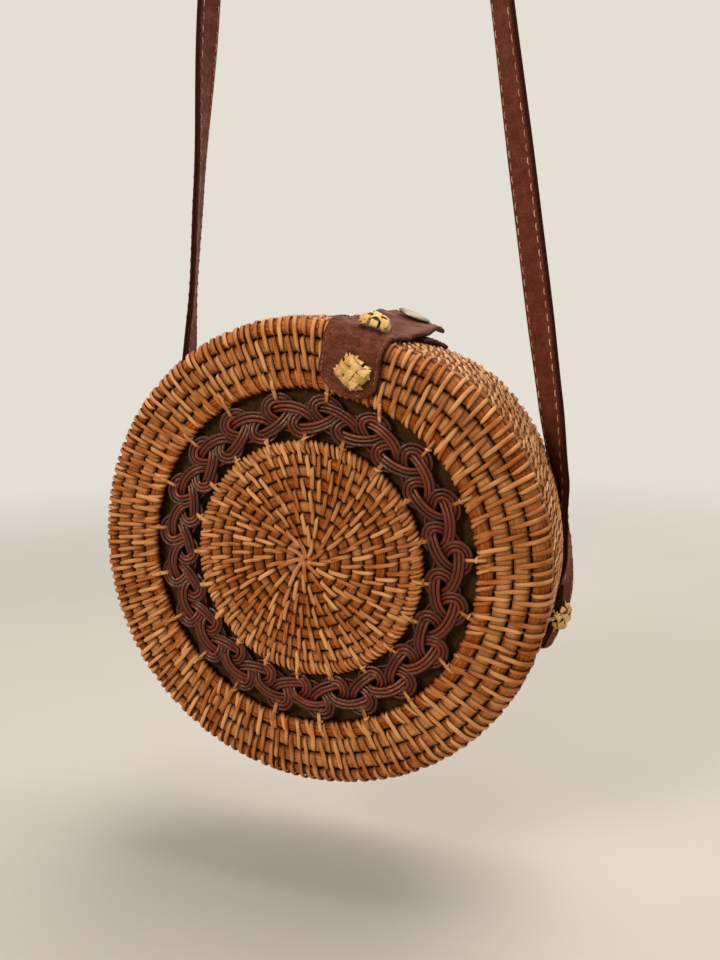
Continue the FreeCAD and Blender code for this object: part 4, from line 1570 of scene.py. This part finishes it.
@dataclass
class LeatherStrip:
    """A strip of leather along a bent middle line in the bag's y and z, with round ends and stitches.

    A place on it is a length along the line, a distance across it and a height above its middle.
    """

    line: Array
    half_width: float
    thickness: float
    start_round: float
    end_round: float
    camber: float
    ripple: float = 0.12
    flutter: float = 0.0
    flutter_start: float = 0.0
    roll: float = 0.0
    sway_places: tuple[float, ...] = (0.0, 1.0)
    sways: tuple[float, ...] = (0.0, 0.0)
    least_reach: float = 0.6
    station_step: float = 1.1
    stitch_inset: float = 1.7
    stitch_pitch: float = 2.5
    stitch_length: float = 1.8
    thread_radius: float = 0.2

    def __post_init__(self) -> None:
        """Work out the line's lengths and its upper side."""
        self.lengths = lengths_along(self.line)
        self.total = float(self.lengths[-1])
        tangent = unit(np.gradient(self.line, self.lengths, axis=0))
        self.normals = joined(-tangent[:, 1], tangent[:, 0])

    def reach(self, length: Array, inset: float = 0.0) -> Array:
        """Half of the strip's width at a length.

        Args:
            length: Length along the middle line.
            inset: What is left out all round.

        Returns:
            The half width, less the inset.
        """
        width = self.half_width - inset
        shape = np.full(np.shape(length), width)
        for rounded, way in ((self.start_round, length), (self.end_round, self.total - length)):
            share = np.clip((way - inset) / (rounded - inset), 0.0, 1.0)
            shape = np.minimum(shape, width * np.sqrt(1 - (1 - share) ** 2))
        return shape

    def point(self, length: Array, across: Array, height: Array) -> Array:
        """Points of the bag's frame.

        Args:
            length: Length along the middle line.
            across: Distance across it.
            height: Height above the middle of the leather.

        Returns:
            The points.
        """
        tracks = (*self.line.T, *self.normals.T)
        y, z, normal_y, normal_z = (np.interp(length, self.lengths, track) for track in tracks)
        fine = np.sin(length * 0.55 + across * 0.16)
        wave = self.ripple * (fine + 0.6 * np.sin(length * 0.23 - across * 0.31 + 1.0))
        edge = (across / self.half_width) ** 2
        past = length - self.flutter_start
        free = ease(past / 8.0)
        curl = self.flutter * free * edge * np.sin(0.26 * past + 0.12 * across + math.pi)
        rise = height + wave + curl - self.camber * edge - self.roll * free * across
        x = across + eased_between(length, self.sway_places, self.sways)
        return joined(x, y + normal_y * rise, z + normal_z * rise)

    def leather(self, lot: float) -> Draft:
        """The leather itself, with its cut edge in the edge's shade.

        Args:
            lot: The leather's own number from 0 to 1.

        Returns:
            The mesh.
        """
        spread = (1 - np.cos(np.linspace(0.0, math.pi, 15))) / 2
        last = self.total - self.end_round
        middle = np.linspace(self.start_round, last, int(self.total / self.station_step))[1:-1]
        ends = self.start_round * spread, self.total - self.end_round * spread[::-1]
        stations = np.concatenate([ends[0], middle, ends[1]])[:, None]
        half = self.thickness / 2
        section = strip_section(1.0, 0.5, 15, 5)
        flat = np.clip(section[:, 0] * 2.0, -1.0, 1.0)
        bulge = section[:, 0] - flat * 0.5
        reach = np.maximum(self.reach(stations), self.least_reach)
        across = flat * (reach - half * 0.8) + bulge * 1.6 * half
        grain = joined(stations, across + (section[:, 1] < 0) * 60.0, lot)
        on_face = (np.abs(section[:, 0]) <= 0.5 + 1e-6).astype(float)
        draft = Draft()
        grid = self.point(stations, across, section[:, 1] * self.thickness)
        draft.add(grid[None], grain, on_face, caps=True)
        return draft

    def stitching(self, random: np.random.Generator, *sides: float) -> Draft:
        """Sew a row of stitches round the strip.

        Args:
            random: Source of the unevenness.
            sides: 1 for the upper side and -1 for the under side.

        Returns:
            The mesh of the thread.
        """
        draft = Draft()
        inset, pitch, thick = self.stitch_inset, self.stitch_pitch, self.thread_radius
        way = np.linspace(inset, self.total - inset, 600)
        reach = self.reach(way, inset)
        loop = np.concatenate([joined(way, reach), joined(way, -reach)[::-1]])
        steps = lengths_along(loop)
        count = int(steps[-1] / pitch)
        arch = np.sin(np.linspace(0.0, math.pi, 7)) * 0.42 - 0.24
        for side in sides:
            starts = np.arange(count) * pitch + random.normal(0.0, 0.1, count)
            places = starts[:, None] + np.linspace(0.0, self.stitch_length, 7)
            height = side * (self.thickness / 2 + arch)
            down = np.interp(places, steps, loop[:, 0])
            across = np.interp(places, steps, loop[:, 1]) + random.normal(0.0, 0.06, (count, 1))
            path = self.point(down, across, height)
            up = unit(self.point(down, across, height + side) - path)
            lots = random.uniform(0, 1, count)
            draft.strands(path, up, round_section(6), thick * 1.2, thick, lots, caps=True)
        return draft


@dataclass
class Flap:
    """The leather flap over the top: one strip from the face over the rim to the free tongue."""

    half_width: float = 13.4
    thickness: float = 2.0
    clearance: float = 0.3
    tip: float = 72.1
    tip_round: float = 9.0
    rim_centre: tuple[float, float] = (8.0, 92.0)
    rim_round: float = 8.0
    bend_depth: float = 20.0
    bend_reach: tuple[float, float] = (-3.0, 4.0)
    tongue_lift: float = 5.2
    tongue_level: float = 58.0
    tongue_end: float = 69.5
    tongue_round: float = 3.5
    tongue_droop: float = 0.3
    tongue_roll: float = 0.03
    camber: float = 0.8
    flutter: float = 0.7
    flutter_start: float = 48.0
    sway_places: tuple[float, ...] = (0.0, 12.0, 22.0, 36.0, 50.0, 72.0, 97.0)
    sways: tuple[float, ...] = (-1.2, -2.0, -3.0, -3.0, -1.6, 1.0, 2.0)

    def middle_line(self) -> Array:
        """The flap's middle line.

        Returns:
            Points in y and z, from its tip to the tongue's end.
        """
        depth, height = self.rim_centre
        radius = self.rim_round + self.clearance + self.thickness / 2
        turn = np.linspace(0.0, QUARTER_TURN, 18)
        front = joined(depth - radius, np.linspace(self.tip, height, 24)[:-1])
        over = joined(depth - radius * np.cos(turn), height + radius * np.sin(turn))
        way = np.linspace(depth, self.tongue_end, 60)[1:]
        share = (way - self.bend_depth) / (self.tongue_level - self.bend_depth)
        droop = self.tongue_droop * ease((way - self.tongue_end + 9.0) / 12.0)
        top = joined(way, height + radius + self.tongue_lift * ease(share) - droop)
        return np.concatenate([front, over, top])

    def build(self, shop: Workshop) -> None:
        """Build the leather and its thread.

        Args:
            shop: The bag's frame and the finishes.
        """
        strip = LeatherStrip(self.middle_line(), self.half_width, self.thickness, self.tip_round,
                             self.tongue_round, self.camber, flutter=self.flutter,
                             flutter_start=self.flutter_start, roll=self.tongue_roll,
                             sway_places=self.sway_places, sways=self.sways)
        leather = shop.make(strip.leather(0.35), "flap_leather_strip", FLAP_LEATHER)
        thread = strip.stitching(np.random.default_rng(31), 1.0, -1.0)
        sewing = shop.make(thread, "flap_sewing", FLAP_THREAD)
        top = self.rim_centre[1] + self.rim_round + self.clearance + self.thickness
        bends = np.array([[0.0, self.bend_depth + reach, top] for reach in self.bend_reach])
        start, end = (tuple(point) for point in shop.bag.front(bends))
        for piece in (leather, sewing):
            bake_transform(piece)
        settle(leather, Slot.LEATHER, "flap_base", "flap_tongue")
        settle(sewing, Slot.LEATHER)


Outline = Sequence[tuple[float, float]]


@dataclass
class Snap:
    """The snap's four turned pieces: cap and socket on the tongue, stud and rivet plate on the tab.

    An outline is a row of reaches from the snap's axis and rises above its seat.
    """

    across: float = 1.0
    depth: float = 59.5
    roll: float = 0.1
    tab_top: float = 102.3
    tongue_under: float = 105.5
    tongue_top: float = 108.1
    cap_radius: float = 7.7
    cap_height: float = 2.3
    cap_edge: float = 0.7
    cap_rim: float = 1.1
    plate_top: float = 93.9
    stud: Outline = ((4.0, -0.4), (4.0, 0.25), (3.7, 0.4), (2.3, 0.45), (1.9, 0.8), (2.2, 1.15), (1.7, 1.5),
                     (0.1, 1.6))
    socket: Outline = ((1.9, 0.3), (1.9, -0.4), (2.3, -0.75), (4.2, -0.75), (4.7, -0.45), (4.7, 0.3))
    plate: Outline = ((0.1, -1.2), (3.6, -1.2), (4.2, -0.8), (4.2, 0.0), (3.8, 0.3), (0.1, 0.3))

    def build(self, shop: Workshop) -> None:
        """Turn the pieces and settle them.

        Args:
            shop: The bag's frame and the finishes.
        """
        flap, rear = Body.FLAP.value, Half.REAR.body
        turned = {"snap_cap": ("disc", flap, self.cap_outline(), self.tongue_top),
                  "snap_socket": ("ring", flap, self.socket, self.tongue_under),
                  "snap_stud": ("post", rear, self.stud, self.tab_top),
                  "stud_rivet_plate": ("disc", rear, self.plate, self.plate_top)}
        for node, (shape, body, outline, seat) in turned.items():
            piece = shop.make(self._turn(outline, seat), f"{node}_{shape}", METAL)
            settle(piece, Slot.SNAP_METAL, node, body=body)

    def cap_outline(self) -> Outline:
        """The cap's outline.

        Returns:
            Points from under its rolled edge to the middle of its low dome.
        """
        edge, reach = self.cap_edge, self.cap_radius - self.cap_rim
        roll = np.linspace(-0.5 * math.pi, 0.72 * math.pi, 11)
        ways = np.linspace(reach, 0.1, 16)
        rim = joined(self.cap_radius - edge + edge * np.cos(roll), edge + edge * np.sin(roll))
        return [*rim, *joined(ways, self.cap_height * (1 - 0.3 * (ways / reach) ** 2))]

    def _turn(self, outline: Outline, seat: float) -> Draft:
        """Turn an outline about the snap's axis.

        Args:
            outline: The outline.
            seat: Height of its seat.

        Returns:
            The mesh.
        """
        angle = np.linspace(FULL_TURN, 0.0, 73)[:, None]
        reach, rise = np.array(outline).T
        aside = reach * np.cos(angle)
        height = seat + rise - self.roll * aside
        grid = joined(self.across + aside, self.depth + reach * np.sin(angle), height)
        draft = Draft()
        draft.add(grid[None], np.zeros(grid.shape), wrap=False)
        return draft


@dataclass
class LowerTab:
    """The leather tab under the tongue that carries the snap's stud, a little skewed."""

    half_width: float = 13.5
    thickness: float = 2.0
    corner_round: float = 4.0
    camber: float = 1.3
    ripple: float = 0.08
    start: float = 40.5
    end: float = 69.5
    seat: float = 100.3
    snap_depth: float = 54.0
    shift: float = 3.8
    droop: float = 2.2
    droop_start: float = 52.0
    droop_length: float = 17.0
    skew: float = math.radians(-17.0)
    tack_depth: float = 45.5
    tack_drop: float = 2.6

    def build(self, shop: Workshop) -> None:
        """Build the tab, its thread and its tack.

        Args:
            shop: The bag's frame and the finishes.
        """
        depth = np.linspace(self.start, self.end, 30)
        droop = self.droop * ease((depth - self.droop_start) / self.droop_length)
        line = joined(depth, self.seat + self.thickness / 2 - droop)
        strip = LeatherStrip(line, self.half_width, self.thickness, self.corner_round, self.corner_round,
                             self.camber, self.ripple)
        snap = self.snap_depth * Y_AXIS
        body = Half.REAR.body

        def place(points: Array) -> Array:
            """Turn points about the snap and place them."""
            return shop.bag.front(spun(points - snap, self.skew) + snap + self.shift * X_AXIS)

        leather = shop.make(strip.leather(0.75), "lower_tab_leather", FLAP_LEATHER, place=place)
        settle(leather, Slot.LEATHER, "lower_tab", body=body)
        thread = strip.stitching(np.random.default_rng(37), 1.0)
        settle(shop.make(thread, "lower_tab_sewing", FLAP_THREAD, place=place), Slot.LEATHER, body=body)
        settle(shop.make(self.tack(), "tab_tack_stitch", TIE), Slot.PALE_RATTAN, "tab_tack", body=body)

    def tack(self) -> Draft:
        """Sew the crossed tack that keeps the tab from turning.

        Returns:
            The mesh of the tack.
        """
        draft = Draft()
        share = np.linspace(-1.0, 1.0, 11)
        height = self.seat + self.thickness + 0.25 - self.tack_drop * np.abs(share) ** 5
        for slant in (1.2, -1.2):
            path = joined(1.5 * share, self.tack_depth + slant * share, height)
            draft.strands(path, Z_AXIS, CANE_SECTION, 0.6, 0.3, np.array([0.6]), caps=True)
        return draft


@dataclass
class Strap:
    """The shoulder strap of two stitched layers, folded back at its ends, with twisted legs.

    Its route lies in the shared frame's x and z, in millimetres, with the top of its loop at the origin.
    Its twists, in degrees, belong to rises above the bag's middle.
    """

    roll: float
    hang_height: float
    inner_radius: float = 97.2
    outer_radius: float = 99.8
    wall_radius: float = 98.7
    fold_drop: float = 16.5
    fold_rise: float = 13.0
    left_lift: float = 0.12
    right_lift: float = 0.16
    left_waypoint: tuple[float, float] = (-78.6, 86.0)
    left_heading: tuple[float, float] = (0.12, 1.0)
    arch_radius: float = 20.0
    width: float = 14.0
    layer: float = 1.3
    layer_gap: float = 0.02
    stitch_inset: float = 1.8
    stitch_pitch: float = 5.2
    stitch_length: float = 3.0
    end_margin: float = 3.0
    bend_rises: tuple[float, float] = (48.0, 240.0)
    right_rises: tuple[float, ...] = (-45.0, -26.0, 0.0, 12.0, 30.0, 63.0, 100.0, 150.0, 224.0, 330.0, 480.0)
    right_twists: tuple[float, ...] = (-30.0, -28.0, 0.0, 10.0, 34.0, 48.0, 54.0, 52.0, 42.0, 26.0, 0.0)
    left_rises: tuple[float, ...] = (-40.0, 40.0, 77.0, 115.0, 157.0, 233.0, 330.0, 480.0)
    left_twists: tuple[float, ...] = (0.0, 0.0, -10.0, -24.0, -18.0, 8.0, 10.0, 0.0)

    def __post_init__(self) -> None:
        """Work out how far the middle line lies from the arch's centre."""
        self.arch_reach = self.arch_radius + self.layer

    def leg(self, side: int) -> tuple[Array, float]:
        """One leg's middle line from its folded end, along the wall and up to the arch.

        Args:
            side: 1 for the right leg and -1 for the left one.

        Returns:
            Points in x and z, and the heading where the leg meets the arch.
        """
        reach = (self.outer_radius - self.inner_radius) / 2
        middle = self.inner_radius + reach
        low = -self.fold_drop / middle
        inner_run = self.round_wall(side, self.inner_radius, np.linspace(self.fold_rise / middle, low, 14))
        turn = np.linspace(-QUARTER_TURN, QUARTER_TURN, 13)[1:-1, None]
        fold = self.round_wall(side, middle, low)
        out = fold - self.round_wall(side, middle - 1, low)
        up = side * np.array([-out[1], out[0]])
        tip = fold + out * reach * np.sin(turn) - up * reach * np.cos(turn)
        lift = self.left_lift if side < 0 else self.right_lift
        outer_run = self.round_wall(side, self.outer_radius, np.linspace(low, lift, 16))
        rest = self.leave_left(outer_run) if side < 0 else self.leave_right()
        arch = np.array([0.0, -self.arch_radius])
        way = arch - rest[-1]
        heading = math.atan2(way[1], way[0]) - side * math.asin(self.arch_reach / np.linalg.norm(way))
        arch_start = arch - np.array([-math.sin(heading), math.cos(heading)]) * side * self.arch_reach
        run = rest[-1] + (arch_start - rest[-1]) * np.linspace(0.0, 1.0, 150)[1:, None]
        return np.concatenate([inner_run, tip, outer_run, rest, run]), heading

    def round_wall(self, side: int, radius: Array | float, angles: Array | float) -> Array:
        """Points in x and z round the wall, at angles above the right knot (1) or the left one (-1)."""
        world = angles - self.roll if side > 0 else math.pi - self.roll - angles
        return joined(radius * np.cos(world), radius * np.sin(world) - self.hang_height)

    def leave_right(self) -> Array:
        """The run that settles on the wall past the right fold and leaves it straight for the arch.

        Returns:
            Points in x and z.
        """
        span = self.hang_height - self.arch_radius
        leave = self.roll + math.asin((self.wall_radius - self.arch_reach) / span)
        angles = np.linspace(self.right_lift, leave, 24)[1:]
        settled = ease((angles - self.right_lift) / (leave - self.right_lift))
        radius = self.outer_radius + (self.wall_radius - self.outer_radius) * settled
        return self.round_wall(1, radius, angles)

    def leave_left(self, outer_run: Array) -> Array:
        """The bend from the left fold to the leg's straight run.

        Args:
            outer_run: The run before it.

        Returns:
            Points in x and z.
        """
        start = outer_run[-1]
        end = np.array(self.left_waypoint) - np.array([0.0, self.hang_height])
        length = np.linalg.norm(end - start)
        first = unit(start - outer_run[-2]) * length
        last = unit(np.array(self.left_heading)) * length
        share = np.linspace(0.0, 1.0, 30)[1:, None]
        square, cube = share ** 2, share ** 3
        return (start * (2 * cube - 3 * square + 1) + first * (cube - 2 * square + share)
                + end * (3 * square - 2 * cube) + last * (cube - square))

    def route(self) -> Array:
        """The middle line of the whole strap, from the left folded end to the right one.

        Returns:
            Points in x and z.
        """
        left, left_heading = self.leg(-1)
        right, right_heading = self.leg(1)
        turn = np.linspace(left_heading + QUARTER_TURN, right_heading - QUARTER_TURN, 40)[1:-1]
        arch = joined(self.arch_reach * np.cos(turn), self.arch_reach * np.sin(turn) - self.arch_radius)
        return np.concatenate([left, arch, right[::-1]])

    def frames(self) -> tuple[Array, Array]:
        """The strap's middle line and the way that it faces.

        Returns:
            Points of the shared frame and the outer side's direction at each.
        """
        route = self.route()
        steps = lengths_along(route)
        LOG.info("strap path: %.0f mm with its folded ends", steps[-1])
        tangent = unit(np.gradient(route, steps, axis=0))
        rise = route[:, 1] + self.hang_height
        twist = np.where(route[:, 0] > 0, eased_between(rise, self.right_rises, self.right_twists),
                         eased_between(rise, self.left_rises, self.left_twists))
        twist = np.radians(twist)[:, None]
        outward = joined(-tangent[:, 1], 0.0, tangent[:, 0])
        normal = outward * np.cos(twist) + Y_AXIS * np.sin(twist)
        return joined(route[:, 0], 0.0, route[:, 1]), normal

    def build(self, shop: Workshop) -> None:
        """Build both layers and the sewing.

        Args:
            shop: The bag's frame and the finishes.
        """
        points, normal = self.frames()
        half = self.width / 2
        section = strip_section(half, self.layer / 2 - self.layer_gap, 13, 5)
        shade = 1 - 0.9 * ease((np.abs(section[:, 0]) / half - 0.88) / 0.1)
        layers = {"strap_top_layer": (1.0, "strap_top_leather", 0.3),
                  "strap_backing_layer": (-1.0, "strap_backing_leather", 0.7)}
        for name, (side, node, lot) in layers.items():
            middle = points + normal * side * self.layer / 2
            grids = strand_grids(middle[None], normal[None], section, 1.0, 1.0)
            grain = strand_grain(grids, np.array([lot]))
            grain[..., 1] = section[:, 0] + (section[:, 1] < 0) * 40.0
            draft = Draft()
            draft.add(grids, grain, shade, caps=True)
            self.hang(shop.make(draft, name, STRAP_LEATHER, place=as_metres), node)
        self.hang(shop.make(self.sewing(points, normal), "strap_sewing", THREAD, place=as_metres))

    def hang(self, piece: bpy.types.Object, *nodes: str) -> None:
        """Bake a piece's place into its mesh and settle it without a body.

        Args:
            piece: The piece, in place.
            nodes: The nodes that it stands for.
        """
        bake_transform(piece)
        settle(piece, Slot.LEATHER, *nodes)

    def sewing(self, points: Array, normal: Array) -> Draft:
        """The two rows of stitches on each side of the strap.

        Args:
            points: Points of the middle line.
            normal: Outer side's direction at each point.

        Returns:
            The mesh of the thread.
        """
        random = np.random.default_rng(41)
        draft = Draft()
        steps = lengths_along(points)
        across = np.cross(normal, unit(np.gradient(points, steps, axis=0)))
        count = int((steps[-1] - 2 * self.end_margin) / self.stitch_pitch)
        arch = np.sin(np.linspace(0.0, math.pi, 6)) * 0.4 - 0.22
        evenly = self.end_margin + np.arange(count) * self.stitch_pitch
        for side in (1.0, -1.0):
            for row in (1.0, -1.0):
                starts = evenly + random.normal(0.0, 0.12, count)
                places = starts[:, None] + np.linspace(0.0, self.stitch_length, 6)
                centre, upper, sideways = (joined(*(np.interp(places, steps, part) for part in values.T))
                                           for values in (points, normal, across))
                upper = unit(upper) * side
                inset = (self.width / 2 - self.stitch_inset + random.normal(0.0, 0.06, (count, 1, 1))) * row
                path = centre + unit(sideways) * inset + upper * (self.layer + arch)[:, None]
                lots = random.uniform(0, 1, count)
                draft.strands(path, upper, round_section(6), 0.28, 0.22, lots, caps=True)
        return draft


@dataclass
class LacedHinge:
    """The lacing at the bottom of the seam: a cord, and turns of cane round it, sewn into the halves."""

    seam_depth: float = 35.0
    radius: float = 100.0
    cord_radius: float = 1.0
    ply_share: float = 0.46
    ply_twist: float = 1.1
    loop_radius: float = 2.4
    loop_length: float = 6.0
    loop_pitch: float = 7.0
    loop_turns: int = 4
    cane_half_height: float = 0.42
    overhang: float = 2.0

    def build(self, shop: Workshop) -> None:
        """Build the cord and the loops of both halves.

        Args:
            shop: The bag's frame and the finishes.
        """
        cord = shop.make(self.cord(), "hinge_cord_plies", TIE)
        settle(cord, Slot.PALE_RATTAN, "hinge_cord", body=Half.REAR.body)
        for half, place in ((Half.REAR, self.loop_pitch), (Half.FRONT, 2 * self.loop_pitch)):
            piece = shop.make(self.loops(-place, place), f"hinge_lacing_{half.value}", TIE)
            settle(piece, Slot.PALE_RATTAN, f"hinge_loops_{half.value}", body=half.body)

    def _wound(self, way: Array, turn: Array, reach: float) -> tuple[Array, Array]:
        """The points of a line wound round the hinge's axis, and the direction outwards at each."""
        out = joined(0.0, np.cos(turn), np.sin(turn))
        return joined(way, self.seam_depth, -self.radius) + reach * out, out

    def cord(self) -> Draft:
        """Lay the two-ply cord that the halves turn on.

        Returns:
            The mesh of the cord.
        """
        draft = Draft()
        reach = 2 * self.loop_pitch + self.loop_length / 2 + self.overhang
        way = np.linspace(-reach, reach, 120)
        ply = self.cord_radius * self.ply_share
        for phase in (0.0, math.pi):
            path, out = self._wound(way, way * self.ply_twist + phase, ply)
            draft.strands(path, out, round_section(8), ply * 1.1, ply * 1.1, np.array([0.3]), caps=True)
        return draft

    def loops(self, *middles: float) -> Draft:
        """Wind turns of cane round the cord.

        Args:
            middles: Where the middle of each loop lies along the cord.

        Returns:
            The mesh of the loops.
        """
        draft = Draft()
        turn = np.linspace(0.0, FULL_TURN * self.loop_turns, 26 * self.loop_turns)
        strand = self.loop_length / self.loop_turns / 2
        reach = self.loop_length / 2 - strand
        for middle in middles:
            way = middle + np.linspace(-reach, reach, len(turn))
            path, out = self._wound(way, turn, self.loop_radius - self.cane_half_height)
            lots = np.array([0.5])
            draft.strands(path, out, CANE_SECTION, strand * 0.97, self.cane_half_height, lots, caps=True)
        return draft


@dataclass
class LeatherWashers:
    """The leather washers behind the knots, inside the lining."""

    radius: float = 6.5
    thickness: float = 1.6
    hole: float = 2.0

    def build(self, shop: Workshop) -> None:
        """Turn each washer where its node lies.

        Args:
            shop: The bag's frame and the finishes.
        """
        places = {"strap_knot_washer_left": (Half.REAR, X_AXIS),
                  "strap_knot_washer_right": (Half.REAR, X_AXIS),
                  "flap_front_washer": (Half.FRONT, Y_AXIS), "flap_top_washer": (Half.FRONT, Z_AXIS)}
        for node, (half, out) in places.items():
            centre = shop.bag.local(np.mean(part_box(node), axis=0))
            piece = shop.make(self._turn(centre, out), node + "_leather", FLAP_LEATHER)
            settle(piece, Slot.LEATHER, node, body=half.body)

    def _turn(self, centre: Array, out: Array) -> Draft:
        """Turn one washer.

        Args:
            centre: Its centre.
            out: The direction that it is turned about.

        Returns:
            The mesh.
        """
        first = unit(np.cross(out, np.array([0.3, 0.5, 0.8])))
        second = np.cross(out, first)
        edge = self.thickness / 2
        turn = np.linspace(-QUARTER_TURN, QUARTER_TURN, 7)
        reach = np.concatenate([[self.hole], self.radius - edge + edge * np.cos(turn), [self.hole]])
        rise = np.concatenate([[-edge], edge * np.sin(turn), [edge]])
        angle = np.linspace(0.0, FULL_TURN, 49)[:, None]
        wide, deep = reach * np.cos(angle), reach * np.sin(angle)
        grid = centre + wide[..., None] * first + deep[..., None] * second + rise[:, None] * out
        shade = (reach < self.radius - edge * 0.5).astype(float)
        draft = Draft()
        draft.add(grid[None, ::-1], joined(wide, deep + rise * 9.0, 0.0), shade)
        return draft


def standing(place: Triple, right: Array | Triple, up: Array | Triple, back: Array | Triple) -> Matrix:
    """The matrix of a camera or a lamp at a place, by the directions to its right, up and back."""
    return Matrix.Translation(place) @ Matrix(np.stack([right, up, back], axis=1).tolist()).to_4x4()


@dataclass
class Studio:
    """The floor, the soft light and the camera at the photograph's angle."""

    floor_height: float = -0.74
    floor_size: float = 2.6
    floor_fade: tuple[float, float] = (0.3, 1.15)
    floor_dark: Colour = paint(192, 186, 178)
    floor_light: Colour = paint(198, 192, 184)
    background: Colour = paint(229, 222, 212)
    soft_light: Colour = (1.0, 0.97, 0.93, 1.0)
    soft_strength: float = 0.25
    camera_place: Triple = (0.14118, -0.38179, -0.48867)
    camera_right: Triple = (0.94346914, 0.33101448, -0.01718692)
    camera_up: Triple = (-0.04156342, 0.16958984, 0.98463789)
    camera_back: Triple = (0.32884412, -0.92826112, 0.17376087)
    lens: float = 33.75
    sensor: float = 36.0
    lit_place: Triple = (0.0, -0.02, -0.55)

    def build(self) -> None:
        """Set the stage."""
        self.camera()
        self.world()
        self.floor()
        self.lamp("key_softbox", (-0.52, -1.05, 0.02), 10.6, 0.42, (1.0, 0.96, 0.9))
        self.lamp("fill_softbox", (1.2, -0.9, -0.2), 3.0, 1.2, (1.0, 0.96, 0.92))
        self.lamp("top_softbox", (0.25, 0.15, 0.5), 13.5, 0.8, (1.0, 0.96, 0.9))
        self.lamp("rear_softbox", (0.3, 1.4, 0.6), 8.0, 1.2, (1.0, 0.96, 0.92))

    def camera(self) -> None:
        """Place the camera."""
        data = bpy.data.cameras.new("photo_camera")
        data.lens = self.lens
        data.sensor_width = self.sensor
        data.clip_start = 0.01
        camera = bpy.data.objects.new("photo_camera", data)
        directions = (self.camera_right, self.camera_up, self.camera_back)
        camera.matrix_world = standing(self.camera_place, *directions)
        bpy.context.scene.collection.objects.link(camera)
        bpy.context.scene.camera = camera

    def world(self) -> None:
        """Give the surroundings a pale colour that lights the bag softly."""
        world = bpy.data.worlds.new("studio_world")
        world.use_nodes = True
        world.node_tree.nodes.clear()
        sheet = NodeSheet(world.node_tree)
        rays = sheet.add("ShaderNodeLightPath").outputs
        seen = sheet.math("MAXIMUM", rays["Is Camera Ray"], rays["Is Glossy Ray"])
        seen = sheet.math("MAXIMUM", seen, rays["Is Transmission Ray"])
        show = sheet.add("ShaderNodeBackground", {0: self.background, 1: 1.0})
        light = sheet.add("ShaderNodeBackground", {0: self.soft_light, 1: self.soft_strength})
        mixed = sheet.add("ShaderNodeMixShader", {0: seen, 1: light.outputs[0], 2: show.outputs[0]})
        sheet.add("ShaderNodeOutputWorld", {0: mixed.outputs[0]})
        bpy.context.scene.world = world
        bpy.context.scene.view_settings.view_transform = "Standard"

    def floor(self) -> None:
        """Lay the plain pale floor, which keeps the bag's shadow."""
        steps = np.linspace(-self.floor_size / 2, self.floor_size / 2, 13)
        grid = joined(steps[::-1, None], steps, self.floor_height)
        draft = Draft()
        draft.add(grid[None], np.zeros(grid.shape), wrap=False)
        sheet, shader, material = open_material("pale_floor")
        place = sheet.add("ShaderNodeTexCoord").outputs["Object"]
        cloud = sheet.spread(sheet.noise(place, 3.0, 3.0), 0.3, 0.7)
        squares = [sheet.math("MULTIPLY", part, part) for part in sheet.parts(place)[:2]]
        away = sheet.math("SQRT", sheet.math("ADD", *squares))
        sheet.feed(shader, {"Base Color": sheet.mix(cloud, self.floor_dark, self.floor_light),
                            "Alpha": sheet.spread(away, *self.floor_fade, 1.0, 0.0),
                            "Roughness": 0.9, "Specular IOR Level": 0.1})
        draft.build("studio_floor", [material], lambda points: points)

    def lamp(self, name: str, place: Triple, power: float, size: float, tint: Triple) -> None:
        """Hang one soft lamp that looks at the bag.

        Args:
            name: Name of the lamp.
            place: Where it hangs.
            power: Its power in watts.
            size: Length of its side.
            tint: Its colour.
        """
        data = bpy.data.lights.new(name, "AREA")
        data.energy = power
        data.size = size
        data.color = tint
        lamp = bpy.data.objects.new(name, data)
        back = unit(np.subtract(place, self.lit_place))
        right = unit(np.cross(Z_AXIS, back))
        lamp.matrix_world = standing(place, right, np.cross(back, right), back)
        lamp.visible_camera = False
        bpy.context.scene.collection.objects.link(lamp)


def knots() -> list[RosetteKnot]:
    """The four rosette knots, where their shanks go through.

    Returns:
        The knots, not yet built.
    """
    tilt = math.radians(29.0)
    aside = math.cos(tilt) * X_AXIS - math.sin(tilt) * Y_AXIS
    along = math.sin(tilt) * X_AXIS + math.cos(tilt) * Y_AXIS
    front = LocalAxes((0.3, -2.3, 84.4), X_AXIS, Z_AXIS, -Y_AXIS)
    top = LocalAxes((0.0, 11.0, 103.5), X_AXIS, Y_AXIS, Z_AXIS)
    right = LocalAxes((108.0, 51.0, -2.5), along, Z_AXIS, aside)
    left = LocalAxes((-108.0, 52.0, 0.0), -Y_AXIS, Z_AXIS, -X_AXIS)
    return [
        RosetteKnot("flap_front_knot", Half.FRONT.body, front, 11.6, 4.2, math.radians(-22.0), 8.0, 51),
        RosetteKnot("flap_top_knot", Half.FRONT.body, top, 10.6, 5.6, math.radians(12.0), 8.0, 53),
        RosetteKnot("strap_knot_right", Half.REAR.body, right, 10.4, 5.0, math.radians(30.0), 12.0, 57),
        RosetteKnot("strap_knot_left", Half.REAR.body, left, 10.4, 5.0, math.radians(25.0), 12.0, 59),
    ]


def main() -> None:
    """Build every class of the bag in order."""
    logging.basicConfig(level=logging.INFO, format="%(message)s")
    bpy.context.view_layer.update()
    bag = BagFrame.from_joints(frame["joints"])
    shop = Workshop(bag, FinishBook())
    Studio().build()
    for half in Half:
        WovenHalf(half, shop).build()
    for part in (Flap(), Snap(), LowerTab(), *knots(), Strap(bag.roll, bag.hang_height), LacedHinge(),
                 LeatherWashers()):
        part.build(shop)


if __name__ == "__main__":
    main()
